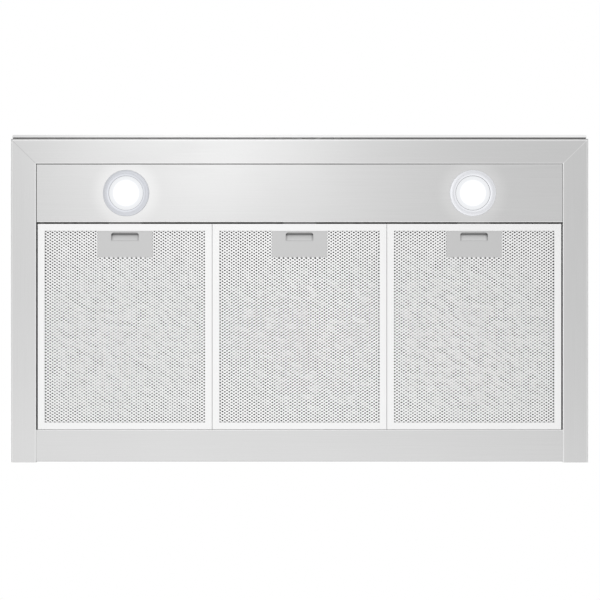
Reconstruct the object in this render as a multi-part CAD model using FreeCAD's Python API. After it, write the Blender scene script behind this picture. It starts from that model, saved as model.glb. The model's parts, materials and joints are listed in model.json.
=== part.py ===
# Wall mount range hood: pyramid canopy, three mesh filters, two lamps, blower and two-piece chimney.
# Millimetres. X runs along the front, +Y points at the wall, +Z is up.
# Heights are built from the canopy's bottom rim and shifted to the wall screws when written out.
import FreeCAD, Part
import math
import os

V = FreeCAD.Vector

# Canopy
HOOD_WIDTH = 900.0
HOOD_DEPTH = 510.0
LIP_HEIGHT = 60.0
CANOPY_HEIGHT = 280.0
SKIN = 1.2
SHEET = 1.0
BEND = 1.2
TOUCH = 0.2
HIP_SPARE = 60.0

# Rim and bottom panels
FLANGE_WIDTH = 40.0
FLANGE_UPSTAND = 14.0
PANEL_UPSTAND = 12.0
LIGHT_PANEL_DEPTH = 91.0
LIGHT_PANEL_RISE = 0.5
REAR_BAR_RISE = 0.8
REAR_BAR_DEPTH = 49.8
REAR_BAR_LEDGE = 6.0
REAR_BAR_BACK = 20.0
BACK_PANEL_RISE = 15.0

# Front fascia and buttons
FASCIA_INSET = 3.0
FASCIA_GAP = 2.0
FASCIA_HEM = 4.0
FASCIA_CORNER = 2.0
BUTTON_NAMES = ("light", "stop", "low", "medium", "high")
BUTTON_PITCH = 30.0
BUTTON_HEIGHT = 30.0
BUTTON_R = 6.6
BUTTON_EDGE = 0.5
BUTTON_TRAVEL = 2.0
BUTTON_PLAY = 0.4
STEM_R = 3.0
STEM_ENTRY = 6.8
STEM_PLAY = 0.3
SWITCH_DEPTH = 18.8
SWITCH_HEIGHT = 24.0
SWITCH_MARGIN = 18.0
BOARD_SHEET = 1.6
BOARD_MARGIN = 7.0

# Filters
FILTER_COUNT = 3
FILTER_NAMES = ("left", "middle", "right")
FILTER_SIDE_GAP = 2.0
FILTER_FRONT_GAP = 2.3
FILTER_HEIGHT = 10.0
FILTER_JOINT = 0.4
FILTER_RISE = 1.5
FILTER_BORDER = 11.0
FILTER_LIP = 0.8
FILTER_WEB = 1.0
FILTER_EDGE = 0.5
FILTER_REAR_GAP = 0.3
TAB_WIDTH = 20.0
TAB_LENGTH = 12.0
TAB_SHEET = 1.2
TAB_SPACING = 160.0
MESH_SHEET = 0.8
MESH_INSET = 0.3
MESH_PITCH_X = 28.2
MESH_PITCH_Y = 18.96
MESH_STRAND = 3.0
CORE_WAVE = 9.0
CORE_SHEET = 0.5

# Latches
LATCH_WIDTH = 86.0
LATCH_SHOWN = 40.5
LATCH_SHEET = 0.6
LATCH_TRAVEL = 7.0
POCKET_WIDTH = 43.0
POCKET_LENGTH = 13.4
POCKET_HEADROOM = 1.0
POCKET_SET_BACK = 2.6
POCKET_CROWN = 2.0
POCKET_CORNER = 4.0
TONGUE_WIDTH = 50.0
TONGUE_REACH = 6.0
SPRING_SHEET = 0.4
SPRING_ARM = 7.5
SPRING_ARM_GAP = 1.4
SPRING_LEG_RUN = 5.6
SPRING_LEG_DROP = 1.6
SPRING_STOP_GAP = 0.4
WELL_SPARE = 10.0

# Lamps
LAMP_END = 140.0
BEZEL_R = 36.0
BEZEL_DROP = 2.5
BEZEL_ROUND = 1.5
LENS_SHOWN_R = 25.5
LENS_LEDGE = 2.3
LENS_SHEET = 1.8
NECK_WALL = 2.0
NECK_HEIGHT = 7.5
LAMP_CAN_HEIGHT = 18.0
LAMP_CAN_WALL = 2.5
LAMP_FIN_COUNT = 4
LAMP_FIN_DEPTH = 1.5
LAMP_FIN_GAP = 1.6
CLIP_WIDTH = 10.0
CLIP_SHEET = 1.6
CLIP_SPREAD = 14.0

# Blower
IMPELLER_R = 78.0
IMPELLER_WIDTH = 100.0
IMPELLER_EYE_R = 64.0
IMPELLER_RING = 2.0
BLADE_COUNT = 36
BLADE_SHEET = 0.8
BLADE_LEAN = 12.0
HUB_R = 9.0
HUB_WIDTH = 18.0
SHAFT_R = 4.0
SHAFT_PLAY = 0.05
SCROLL_CLEARANCE = 12.0
SCROLL_BACK_GAP = 6.8
SCROLL_FLOOR_GAP = 29.5
SCROLL_STEP = 12.0
SCROLL_SIDE_GAP = 12.0
INLET_LAP = 2.0
INLET_RING = 6.0
MOTOR_R = 40.0
MOTOR_BELL_R = 34.0
MOTOR_BELL = 6.0
MOTOR_HUB_GAP = 3.0
MOTOR_SHAFT_SEAT = 32.0
ARM_COUNT = 3
ARM_WIDTH = 14.0
ARM_SHEET = 2.0
ARM_LAP = 16.0
CAPACITOR_R = 16.0
CAPACITOR_LENGTH = 55.0
CAPACITOR_GAP = 24.0
CAPACITOR_Y = -60.0

# Electrics on the back panel and top plate
BOX_X = -250.0
BOX_Z = 100.0
BOX_WIDTH = 100.0
BOX_HEIGHT = 60.0
BOX_DEPTH = 40.0
BOX_POST_R = 4.0
BOX_POST_INSET = 10.0
GLAND_X = -105.0
GLAND_Y = -50.0
GLAND_R = 9.0
GLAND_BORE_R = 5.5
GLAND_FLANGE = 3.0
GLAND_FLANGE_SHEET = 2.0
GLAND_NUT_HEIGHT = 4.0

# Exhaust collar and damper
COLLAR_R = 75.0
COLLAR_WALL = 1.0
COLLAR_HEIGHT = 60.0
COLLAR_FLANGE = 15.0
COLLAR_SCREWS = 4
COLLAR_HOLE_PLAY = 4.0
PIVOT_RISE = 33.8
PIVOT_R = 2.0
KNUCKLE_WALL = 1.35
KNUCKLE_LENGTH = 20.0
KNUCKLE_GAP = 10.0
FLAP_SHEET = 0.8
FLAP_EDGE_GAP = 1.2
FLAP_AXIS_GAP = 4.0
STOP_WIDTH = 12.0
STOP_LENGTH = 5.0
STOP_HEIGHT = 2.0

# Chimney
CHIMNEY_WIDTH = 300.0
CHIMNEY_DEPTH = 260.0
CHIMNEY_RETURN = 15.0
CHIMNEY_GAP = 0.5
CHIMNEY_SCREW_INSET = 65.0
LOWER_HEIGHT = 400.0
UPPER_HEIGHT = 480.0
UPPER_BACK_GAP = 1.5
CHIMNEY_FOOT = 15.0
CHIMNEY_FOOT_BACK = 10.0
VENT_COUNT = 5
VENT_LENGTH = 110.0
VENT_HEIGHT = 6.0
VENT_PITCH = 14.0
VENT_DROP = 20.0
BRACKET_SHEET = 1.5
BRACKET_HEIGHT = 30.0
BRACKET_DROP = 10.0
BRACKET_EAR = 30.0
BRACKET_SCREW_REACH = 20.0
BRACKET_SPACING = 120.0
BRACKET_HOLE_R = 3.0

# Wall screws and small screws
WALL_SPACING_X = 300.0
WALL_SPACING_Z = 140.0
WALL_HEIGHT = 160.0
WALL_HOLE_R = 4.0
SCREW_R = 1.5
SCREW_LENGTH = 5.0
SCREW_HEAD_R = 3.2
SCREW_HEAD = 1.8
SCREW_PLAY = 0.2

# Places worked out from the sizes above
HALF_WIDTH = HOOD_WIDTH / 2
LIP_Y = -HOOD_DEPTH + FASCIA_HEM + FASCIA_GAP
LIP_INSIDE_Y = LIP_Y + SKIN
RIM_IN_X = HALF_WIDTH - FLANGE_WIDTH
RIM_IN_Y = -HOOD_DEPTH + FASCIA_HEM + FASCIA_GAP + FLANGE_WIDTH - SHEET
LIGHT_BACK_Y = RIM_IN_Y + LIGHT_PANEL_DEPTH
REAR_BAR_Y = -SKIN - REAR_BAR_DEPTH
LEDGE_Z = REAR_BAR_RISE + REAR_BAR_LEDGE
FILTER_BACK_Y = REAR_BAR_Y - FILTER_REAR_GAP
FILTER_FRONT_Y = LIGHT_BACK_Y + FILTER_FRONT_GAP
FILTER_DEPTH = FILTER_BACK_Y - FILTER_FRONT_Y
FILTER_WIDTH = (2 * (RIM_IN_X - FILTER_SIDE_GAP) - (FILTER_COUNT - 1) * FILTER_JOINT) / FILTER_COUNT
FILTER_PITCH = FILTER_WIDTH + FILTER_JOINT
FILTER_CENTRES = [(i - (FILTER_COUNT - 1) / 2) * FILTER_PITCH for i in range(FILTER_COUNT)]
LATCH_Z = FILTER_RISE + FILTER_LIP + TOUCH
SPRING_Z = LATCH_Z + LATCH_SHEET
FACE_MESH_Z = SPRING_Z + SPRING_SHEET + TOUCH
CORE_Z = FACE_MESH_Z + MESH_SHEET + TOUCH
BACK_MESH_Z = FILTER_RISE + FILTER_HEIGHT - FILTER_LIP - TOUCH - MESH_SHEET
CORE_HEIGHT = BACK_MESH_Z - TOUCH - CORE_Z
POCKET_DEPTH = BACK_MESH_Z - POCKET_HEADROOM - LATCH_SHEET - LATCH_Z
LATCH_FRONT_Y = FILTER_FRONT_Y + FILTER_WEB + MESH_INSET
POCKET_FRONT_Y = FILTER_FRONT_Y + FILTER_BORDER + POCKET_SET_BACK
WELL_FRONT_Y = FILTER_FRONT_Y + FILTER_BORDER - FILTER_WEB
WELL_BACK_Y = POCKET_FRONT_Y + POCKET_LENGTH + LATCH_TRAVEL + WELL_SPARE
WELL_WIDTH = POCKET_WIDTH + 2 * (LATCH_SHEET + SPRING_ARM_GAP + SPRING_ARM + FILTER_WEB)
LAMP_Y = (RIM_IN_Y + LIGHT_BACK_Y) / 2
LAMP_XS = (LAMP_END - RIM_IN_X, RIM_IN_X - LAMP_END)
NECK_R = LENS_SHOWN_R + LENS_LEDGE + TOUCH + NECK_WALL
NECK_TOP = LIGHT_PANEL_RISE + NECK_HEIGHT
SCROLL_HALF = IMPELLER_WIDTH / 2 + SCROLL_SIDE_GAP
SCROLL_START_R = IMPELLER_R + SCROLL_CLEARANCE
SCROLL_AXIS_Y = -SKIN - SCROLL_BACK_GAP - SHEET - SCROLL_START_R - SCROLL_STEP / 2
SCROLL_AXIS_Z = FILTER_RISE + FILTER_HEIGHT + SCROLL_FLOOR_GAP + SHEET + SCROLL_START_R + SCROLL_STEP * 3 / 2
SCROLL_FRONT_Y = SCROLL_AXIS_Y - SCROLL_START_R - SCROLL_STEP * 5 / 2
INLET_R = IMPELLER_EYE_R + INLET_LAP
MOTOR_X = SCROLL_HALF + SHEET
MOTOR_LENGTH = MOTOR_X - HUB_WIDTH / 2 - MOTOR_HUB_GAP
ARM_R = INLET_R + ARM_LAP
CAPACITOR_X = MOTOR_X + ARM_SHEET + CAPACITOR_GAP + CAPACITOR_R
COLLAR_BORE_R = COLLAR_R - COLLAR_WALL
COLLAR_Y = SCROLL_FRONT_Y + COLLAR_BORE_R
TOP_Z = CANOPY_HEIGHT + SKIN
COLLAR_FLANGE_TOP = TOP_Z + SKIN
PIVOT_Z = TOP_Z + PIVOT_RISE
UPPER_BASE = TOP_Z + CHIMNEY_FOOT + TOUCH
UPPER_TOP = UPPER_BASE + UPPER_HEIGHT
UPPER_HALF = CHIMNEY_WIDTH / 2 - SHEET - CHIMNEY_GAP
CHIMNEY_INSIDE = CHIMNEY_WIDTH / 2 - SHEET
CHIMNEY_SCREW_Z = TOP_Z + CHIMNEY_FOOT / 2
CHIMNEY_SCREW_YS = (-CHIMNEY_DEPTH + CHIMNEY_SCREW_INSET, -CHIMNEY_SCREW_INSET)
BRACKET_Z = UPPER_TOP - BRACKET_DROP - BRACKET_HEIGHT
BRACKET_MID_Z = BRACKET_Z + BRACKET_HEIGHT / 2
BRACKET_Y = -UPPER_BACK_GAP - SHEET
BRACKET_SCREW_Y = BRACKET_Y - BRACKET_SCREW_REACH
BOX_FRONT_Y = -SKIN - BOX_DEPTH
BUTTON_LENGTH = FASCIA_HEM + FASCIA_GAP - BUTTON_TRAVEL - TOUCH
STEM_LENGTH = LIP_INSIDE_Y + STEM_ENTRY + HOOD_DEPTH - BUTTON_LENGTH
SWITCH_BORE_DEPTH = STEM_ENTRY + BUTTON_TRAVEL + SHEET
BUTTON_XS = [(i - (len(BUTTON_NAMES) - 1) / 2) * BUTTON_PITCH for i in range(len(BUTTON_NAMES))]
SWITCH_HALF = BUTTON_XS[-1] + SWITCH_MARGIN


def box(x, y, z):
    """A block between three pairs of limits."""
    return Part.makeBox(x[1] - x[0], y[1] - y[0], z[1] - z[0], V(x[0], y[0], z[0]))


def rod(radius, start, end):
    """A round bar from one point to another."""
    way = end - start
    return Part.makeCylinder(radius, way.Length, start, way)


def plate(points, way):
    """A flat outline pushed along a vector."""
    return Part.Face(Part.makePolygon(list(points) + [points[0]])).extrude(way)


def rounded_face(points, radii):
    """A flat face whose corners are rounded by arcs."""
    edges = []
    ends = []
    count = len(points)
    for i, corner in enumerate(points):
        to_last = (points[i - 1] - corner).normalize()
        to_next = (points[(i + 1) % count] - corner).normalize()
        half = to_last.getAngle(to_next) / 2
        cut = radii[i] / math.tan(half)
        start = corner + to_last * cut
        end = corner + to_next * cut
        if radii[i] > 0:
            inward = (to_last + to_next).normalize()
            centre = corner + inward * (radii[i] / math.sin(half))
            edges.append(Part.Arc(start, centre - inward * radii[i], end).toShape())
        ends.append((start, end))
    for i in range(count):
        edges.append(Part.LineSegment(ends[i][1], ends[(i + 1) % count][0]).toShape())
    return Part.Face(Part.Wire(Part.__sortEdges__(edges)))


def folded_sheet(outside, to_3d, sheet, way):
    """A sheet folded along an outline of its outer face, square bends only, pushed along a vector."""
    inside = []
    for i, point in enumerate(outside):
        last = outside[max(i - 1, 0)]
        following = outside[min(i + 1, len(outside) - 1)]
        shift = [0.0, 0.0]
        for a, b in ((last, point), (point, following)):
            length = math.dist(a, b)
            if length > 0:
                turned = ((a[1] - b[1]) / length, (b[0] - a[0]) / length)
                shift = [turned[k] if round(turned[k]) else shift[k] for k in (0, 1)]
        inside.append((point[0] + shift[0] * sheet, point[1] + shift[1] * sheet))
    bends = [0.0] + [BEND] * (len(outside) - 2) + [0.0]
    inner_bends = [max(b - sheet, 0.0) for b in bends]
    points = [to_3d(*p) for p in outside + inside[::-1]]
    return rounded_face(points, bends + inner_bends[::-1]).extrude(way)


def in_yz(x):
    return lambda y, z: V(x, y, z)


def in_xz(y):
    return lambda x, z: V(x, y, z)


def in_xy(z):
    return lambda x, y: V(x, y, z)


def revolved(outline, x, y):
    """A ring turned about a vertical axis from an outline of radius and height."""
    points = [V(x + r, y, z) for r, z in outline]
    face = Part.Face(Part.makePolygon(points + [points[0]]))
    return face.revolve(V(x, y, 0), V(0, 0, 1), 360)


def one(shape):
    """The single clean solid of a shape."""
    return shape.removeSplitter().Solids[0]


# Canopy skins

def canopy_level(height, inset):
    """Half width and front of the canopy's outside at a height, set in by a distance."""
    share = max(height - LIP_HEIGHT, 0) / (CANOPY_HEIGHT - LIP_HEIGHT)
    half = HALF_WIDTH + (CHIMNEY_WIDTH / 2 - HALF_WIDTH) * share
    front = LIP_Y + (-CHIMNEY_DEPTH - LIP_Y) * share
    return half - inset, front + inset


def frustum(low, high, inset, back):
    """A block between two levels, with the slopes of the canopy."""
    corners = []
    for height in (low, high):
        half, front = canopy_level(height, inset)
        corners.append([V(-half, front, height), V(half, front, height),
                        V(half, back, height), V(-half, back, height)])
    bottom, top = corners
    rings = [bottom[::-1], top]
    rings += [[bottom[i], bottom[(i + 1) % 4], top[(i + 1) % 4], top[i]] for i in range(4)]
    faces = [Part.Face(Part.makePolygon(ring + [ring[0]])) for ring in rings]
    return Part.Solid(Part.Shell(faces))


def canopy_inside():
    past = SKIN
    low = frustum(-past, LIP_HEIGHT, SKIN, past)
    return low.fuse(frustum(LIP_HEIGHT, CANOPY_HEIGHT + past, SKIN, past))


def corner_wedge():
    """The space in front of both hips, which splits the front skin from the side skins."""
    low_half, low_front = canopy_level(0, 0)
    top_half, top_front = canopy_level(CANOPY_HEIGHT, 0)
    run = V(low_half - top_half, top_front - low_front, 0).normalize() * HIP_SPARE
    points = [V(-low_half - run.x, low_front - run.y, -SKIN), V(low_half + run.x, low_front - run.y, -SKIN),
              V(top_half - run.x, top_front + run.y, -SKIN), V(-top_half + run.x, top_front + run.y, -SKIN)]
    return plate(points, V(0, 0, CANOPY_HEIGHT + 3 * SKIN))


def canopy_skins():
    outside = frustum(0, LIP_HEIGHT, 0, 0).fuse(frustum(LIP_HEIGHT, CANOPY_HEIGHT, 0, 0))
    shell = outside.cut(canopy_inside())
    wedge = corner_wedge()
    front = shell.common(wedge)
    for x in BUTTON_XS:
        front = front.cut(rod(STEM_R + STEM_PLAY, V(x, LIP_Y - SKIN, BUTTON_HEIGHT),
                              V(x, LIP_INSIDE_Y + SKIN, BUTTON_HEIGHT)))
    sides = shell.cut(wedge).Solids
    sides.sort(key=lambda solid: solid.CenterOfMass.x)
    return {"canopy_front_panel": one(front), "canopy_left_panel": one(sides[0]),
            "canopy_right_panel": one(sides[-1])}


def back_panel():
    slab = box((-HALF_WIDTH, HALF_WIDTH), (-SKIN, 0), (BACK_PANEL_RISE, CANOPY_HEIGHT))
    panel = canopy_inside().common(slab)
    for x in (-WALL_SPACING_X / 2, WALL_SPACING_X / 2):
        for z in (WALL_HEIGHT - WALL_SPACING_Z / 2, WALL_HEIGHT + WALL_SPACING_Z / 2):
            panel = panel.cut(rod(WALL_HOLE_R, V(x, -2 * SKIN, z), V(x, SKIN, z)))
    return one(panel)


def collar_screw_places():
    reach = COLLAR_R + COLLAR_FLANGE / 2
    turns = [i * 2 * math.pi / COLLAR_SCREWS for i in range(COLLAR_SCREWS)]
    return [(reach * math.cos(t), COLLAR_Y + reach * math.sin(t)) for t in turns]


def top_plate():
    """The plate on top of the canopy."""
    half = CHIMNEY_WIDTH / 2
    shape = box((-half, half), (-CHIMNEY_DEPTH, 0), (CANOPY_HEIGHT, TOP_Z))
    mouth = COLLAR_R + COLLAR_HOLE_PLAY
    cuts = [rod(mouth, V(0, COLLAR_Y, CANOPY_HEIGHT - SKIN), V(0, COLLAR_Y, TOP_Z + SKIN)),
            rod(GLAND_R + TOUCH, V(GLAND_X, GLAND_Y, CANOPY_HEIGHT - SKIN),
                V(GLAND_X, GLAND_Y, TOP_Z + SKIN))]
    hole = SCREW_R + SCREW_PLAY
    cuts += [rod(hole, V(x, y, CANOPY_HEIGHT - SKIN), V(x, y, TOP_Z + SKIN))
             for x, y in collar_screw_places()]
    return one(shape.cut(Part.makeCompound(cuts)))


# Rim, light panel and rear bar

def front_mitre():
    """The space between the two mitre planes, wide at the front."""
    slope = FLANGE_WIDTH / (RIM_IN_Y - LIP_Y)
    front_y = LIP_Y - FLANGE_WIDTH
    back_y = RIM_IN_Y + SHEET
    front_half = HALF_WIDTH + (LIP_Y - front_y) * slope
    back_half = RIM_IN_X - SHEET * slope
    points = [V(-front_half, front_y, -SHEET), V(front_half, front_y, -SHEET),
              V(back_half, back_y, -SHEET), V(-back_half, back_y, -SHEET)]
    return plate(points, V(0, 0, LIP_HEIGHT))


def rim_flanges():
    mitre = front_mitre()
    outline = [(LIP_INSIDE_Y, FLANGE_UPSTAND), (LIP_INSIDE_Y, 0), (RIM_IN_Y, 0), (RIM_IN_Y, PANEL_UPSTAND)]
    front = folded_sheet(outline, in_yz(-HALF_WIDTH), SHEET, V(HOOD_WIDTH, 0, 0)).common(mitre)
    outer = HALF_WIDTH - SKIN
    left_outline = [(-outer, FLANGE_UPSTAND), (-outer, 0), (-RIM_IN_X, 0), (-RIM_IN_X, PANEL_UPSTAND)]
    left = folded_sheet(left_outline, in_xz(LIP_INSIDE_Y), SHEET, V(0, -LIP_INSIDE_Y, 0)).cut(mitre)
    return {"front_flange": one(front), "left_flange": one(left),
            "right_flange": one(left.mirror(V(0, 0, 0), V(1, 0, 0)))}


def light_panel():
    outline = [(RIM_IN_Y, PANEL_UPSTAND), (RIM_IN_Y, LIGHT_PANEL_RISE),
               (LIGHT_BACK_Y, LIGHT_PANEL_RISE), (LIGHT_BACK_Y, PANEL_UPSTAND)]
    panel = folded_sheet(outline, in_yz(-RIM_IN_X), SHEET, V(2 * RIM_IN_X, 0, 0))
    cuts = [rod(NECK_R + TOUCH, V(x, LAMP_Y, -SHEET), V(x, LAMP_Y, PANEL_UPSTAND)) for x in LAMP_XS]
    slot_half = TONGUE_WIDTH / 2 + SHEET
    slot_z = (SPRING_Z - TOUCH, SPRING_Z + SPRING_SHEET + 2 * TOUCH)
    cuts += [box((x - slot_half, x + slot_half), (LIGHT_BACK_Y - 2 * SHEET, LIGHT_BACK_Y + SHEET), slot_z)
             for x in FILTER_CENTRES]
    return one(panel.cut(Part.makeCompound(cuts)))


def rear_bar():
    outline = [(REAR_BAR_Y, LEDGE_Z), (REAR_BAR_Y, REAR_BAR_RISE),
               (-SKIN, REAR_BAR_RISE), (-SKIN, REAR_BAR_BACK)]
    return folded_sheet(outline, in_yz(-RIM_IN_X), SHEET, V(2 * RIM_IN_X, 0, 0)).Solids[0]


# Fascia and controls

def front_fascia():
    """A shallow tray whose top and ends meet the lip, with a short hem along the bottom."""
    half = HALF_WIDTH - FASCIA_INSET
    block = box((-half, half), (-HOOD_DEPTH, LIP_Y), (0, LIP_HEIGHT))
    corners = [e for e in block.Edges if e.BoundBox.ZLength > LIP_HEIGHT / 2 and e.BoundBox.YMax < LIP_Y]
    tray = block.makeFillet(FASCIA_CORNER, corners)
    across = (-half + SHEET, half - SHEET)
    tray = tray.cut(box(across, (-HOOD_DEPTH + SHEET, LIP_Y), (SHEET, LIP_HEIGHT - SHEET)))
    tray = tray.cut(box(across, (LIP_Y - FASCIA_GAP, LIP_Y), (0, SHEET)))
    for x in BUTTON_XS:
        tray = tray.cut(rod(BUTTON_R + BUTTON_PLAY, V(x, -HOOD_DEPTH - SHEET, BUTTON_HEIGHT),
                            V(x, -HOOD_DEPTH + 2 * SHEET, BUTTON_HEIGHT)))
    return one(tray)


def push_button(x):
    front = V(x, -HOOD_DEPTH, BUTTON_HEIGHT)
    back = V(x, -HOOD_DEPTH + BUTTON_LENGTH, BUTTON_HEIGHT)
    cap = rod(BUTTON_R, front, back)
    rim = [e for e in cap.Edges if e.BoundBox.YMax < -HOOD_DEPTH + BUTTON_LENGTH / 2]
    cap = cap.makeFillet(BUTTON_EDGE, rim)
    return one(cap.fuse(rod(STEM_R, back, back + V(0, STEM_LENGTH, 0))))


def switch_block():
    half_z = SWITCH_HEIGHT / 2
    block = box((-SWITCH_HALF, SWITCH_HALF), (LIP_INSIDE_Y, LIP_INSIDE_Y + SWITCH_DEPTH),
                (BUTTON_HEIGHT - half_z, BUTTON_HEIGHT + half_z))
    for x in BUTTON_XS:
        block = block.cut(rod(STEM_R + STEM_PLAY, V(x, LIP_INSIDE_Y - SHEET, BUTTON_HEIGHT),
                              V(x, LIP_INSIDE_Y + SWITCH_BORE_DEPTH, BUTTON_HEIGHT)))
    return block.Solids[0]


def control_board():
    half_x = SWITCH_HALF + BOARD_MARGIN
    half_z = SWITCH_HEIGHT / 2 + BOARD_MARGIN
    back = LIP_INSIDE_Y + SWITCH_DEPTH
    return box((-half_x, half_x), (back, back + BOARD_SHEET),
               (BUTTON_HEIGHT - half_z, BUTTON_HEIGHT + half_z))


# Lamps

def lamp_bezel(x):
    panel = LIGHT_PANEL_RISE
    low = panel - BEZEL_DROP
    seat = panel - SHEET
    inner = NECK_R - NECK_WALL
    outline = [(LENS_SHOWN_R, low + BEZEL_ROUND / 2), (LENS_SHOWN_R + BEZEL_ROUND, low),
               (BEZEL_R - BEZEL_ROUND, low), (BEZEL_R, low + BEZEL_ROUND),
               (BEZEL_R, panel), (NECK_R, panel), (NECK_R, NECK_TOP),
               (inner, NECK_TOP), (inner, seat), (LENS_SHOWN_R, seat)]
    return revolved(outline, x, LAMP_Y)


def lamp_lens(x):
    seat = LIGHT_PANEL_RISE - SHEET
    return rod(LENS_SHOWN_R + LENS_LEDGE, V(x, LAMP_Y, seat), V(x, LAMP_Y, seat + LENS_SHEET))


def lamp_housing(x):
    """A cooling can with ring fins that stands on the bezel's neck."""
    base = NECK_TOP
    top = base + LAMP_CAN_HEIGHT
    can = rod(NECK_R, V(x, LAMP_Y, base), V(x, LAMP_Y, top))
    can = can.cut(rod(NECK_R - LAMP_CAN_WALL, V(x, LAMP_Y, base), V(x, LAMP_Y, top - LAMP_CAN_WALL)))
    step = LAMP_CAN_HEIGHT / (LAMP_FIN_COUNT + 1)
    for i in range(LAMP_FIN_COUNT):
        z = base + (i + 1) * step
        ring = rod(NECK_R + TOUCH, V(x, LAMP_Y, z), V(x, LAMP_Y, z + LAMP_FIN_GAP))
        can = can.cut(ring.cut(rod(NECK_R - LAMP_FIN_DEPTH, V(x, LAMP_Y, z), V(x, LAMP_Y, z + LAMP_FIN_GAP))))
    return one(can)


def at_both_lamps(make):
    return Part.makeCompound([make(x) for x in LAMP_XS])


def lamp_clips():
    """Two spring clips on each lamp, from the can down to the back of the light panel."""
    foot = LIGHT_PANEL_RISE + SHEET
    clips = []
    for x in LAMP_XS:
        for side in (-1, 1):
            near = x + side * NECK_R
            far = near + side * CLIP_SPREAD
            top = NECK_TOP + CLIP_SHEET
            points = [V(near, LAMP_Y - CLIP_WIDTH / 2, top), V(far, LAMP_Y - CLIP_WIDTH / 2, foot),
                      V(far + side * CLIP_SHEET, LAMP_Y - CLIP_WIDTH / 2, foot),
                      V(near, LAMP_Y - CLIP_WIDTH / 2, top + CLIP_SHEET)]
            clips.append(plate(points, V(0, CLIP_WIDTH, 0)))
    return Part.makeCompound(clips)


# Filters

def filter_frame(x):
    """A channel bent round the edge of the filter, with a tongue slot in front and two tabs behind."""
    half = FILTER_WIDTH / 2
    y = (FILTER_FRONT_Y, FILTER_BACK_Y)
    top = FILTER_RISE + FILTER_HEIGHT
    block = box((x - half, x + half), y, (FILTER_RISE, top))
    low_edges = [e for e in block.Edges if e.BoundBox.ZMax < FILTER_RISE + FILTER_EDGE]
    frame = block.makeFillet(FILTER_EDGE, low_edges)
    web = FILTER_WEB
    frame = frame.cut(box((x - half + web, x + half - web), (y[0] + web, y[1] - web),
                          (FILTER_RISE + FILTER_LIP, top - FILTER_LIP)))
    rim = FILTER_BORDER
    frame = frame.cut(box((x - half + rim, x + half - rim), (y[0] + rim, y[1] - rim), (FILTER_RISE, top)))
    slot_half = TONGUE_WIDTH / 2 + SHEET
    frame = frame.cut(box((x - slot_half, x + slot_half), (y[0], y[0] + web),
                          (SPRING_Z - TOUCH, SPRING_Z + SPRING_SHEET + TOUCH)))
    tab_z = (LEDGE_Z + FILTER_REAR_GAP, LEDGE_Z + FILTER_REAR_GAP + TAB_SHEET)
    for side in (-1, 1):
        middle = x + side * TAB_SPACING / 2
        frame = frame.fuse(box((middle - TAB_WIDTH / 2, middle + TAB_WIDTH / 2),
                               (y[1] - web, y[1] + TAB_LENGTH), tab_z))
    return one(frame)


def diamond(x, y, z):
    half_x = MESH_PITCH_X / 2 - MESH_STRAND
    half_y = MESH_PITCH_Y / 2 - MESH_STRAND
    points = [V(x - half_x, y, z), V(x, y - half_y, z), V(x + half_x, y, z), V(x, y + half_y, z)]
    return Part.makePolygon(points + [points[0]])


def well_outline(x, z):
    """The clear space in the mesh and core behind the latch plate."""
    half = WELL_WIDTH / 2
    points = [V(x - half, WELL_FRONT_Y, z), V(x + half, WELL_FRONT_Y, z),
              V(x + half, WELL_BACK_Y, z), V(x - half, WELL_BACK_Y, z)]
    return Part.makePolygon(points + [points[0]])


def mesh_panel(x, y, z):
    """A flat rectangle of staggered diamond openings between limits in x and y."""
    points = [V(x[0], y[0], z), V(x[1], y[0], z), V(x[1], y[1], z), V(x[0], y[1], z)]
    wires = [Part.makePolygon(points + [points[0]])]
    columns = int((x[1] - x[0]) / MESH_PITCH_X) - 1
    rows = int((y[1] - y[0]) / MESH_PITCH_Y) - 1
    for i in range(-columns, columns + 1):
        for j in range(-rows, rows + 1):
            if (i + j) % 2 == 0:
                centre_x = (x[0] + x[1] + i * MESH_PITCH_X) / 2
                centre_y = (y[0] + y[1] + j * MESH_PITCH_Y) / 2
                wires.append(diamond(centre_x, centre_y, z))
    return Part.makeFace(wires, "Part::FaceMakerBullseye").extrude(V(0, 0, MESH_SHEET))


def filter_mesh(x):
    """A rear sheet, and a face sheet in three panels round the well behind the latch plate."""
    inset = FILTER_WEB + MESH_INSET
    half = FILTER_WIDTH / 2 - inset
    well = WELL_WIDTH / 2
    y = (FILTER_FRONT_Y + inset, FILTER_BACK_Y - inset)
    panels = [mesh_panel((x - half, x + half), y, BACK_MESH_Z),
              mesh_panel((x - half, x + half), (WELL_BACK_Y, y[1]), FACE_MESH_Z),
              mesh_panel((x - half, x - well), (y[0], WELL_BACK_Y), FACE_MESH_Z),
              mesh_panel((x + well, x + half), (y[0], WELL_BACK_Y), FACE_MESH_Z)]
    return Part.makeCompound(panels)


def filter_core(x):
    """A crimped sheet between the two meshes, with a well behind the latch plate."""
    inset = FILTER_WEB + MESH_INSET
    front = FILTER_FRONT_Y + inset
    back = FILTER_BACK_Y - inset
    width = FILTER_WIDTH - 2 * inset
    folds = 2 * int(width / CORE_WAVE)
    rise = CORE_HEIGHT - CORE_SHEET
    under = [V(x - width / 2 + width * i / folds, front, CORE_Z + rise * (i % 2)) for i in range(folds + 1)]
    over = [point + V(0, 0, CORE_SHEET) for point in under]
    sheet = plate(under + over[::-1], V(0, back - front, 0))
    well = Part.Face(well_outline(x, CORE_Z)).extrude(V(0, 0, CORE_HEIGHT))
    return sheet.cut(well).Solids[0]


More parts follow.
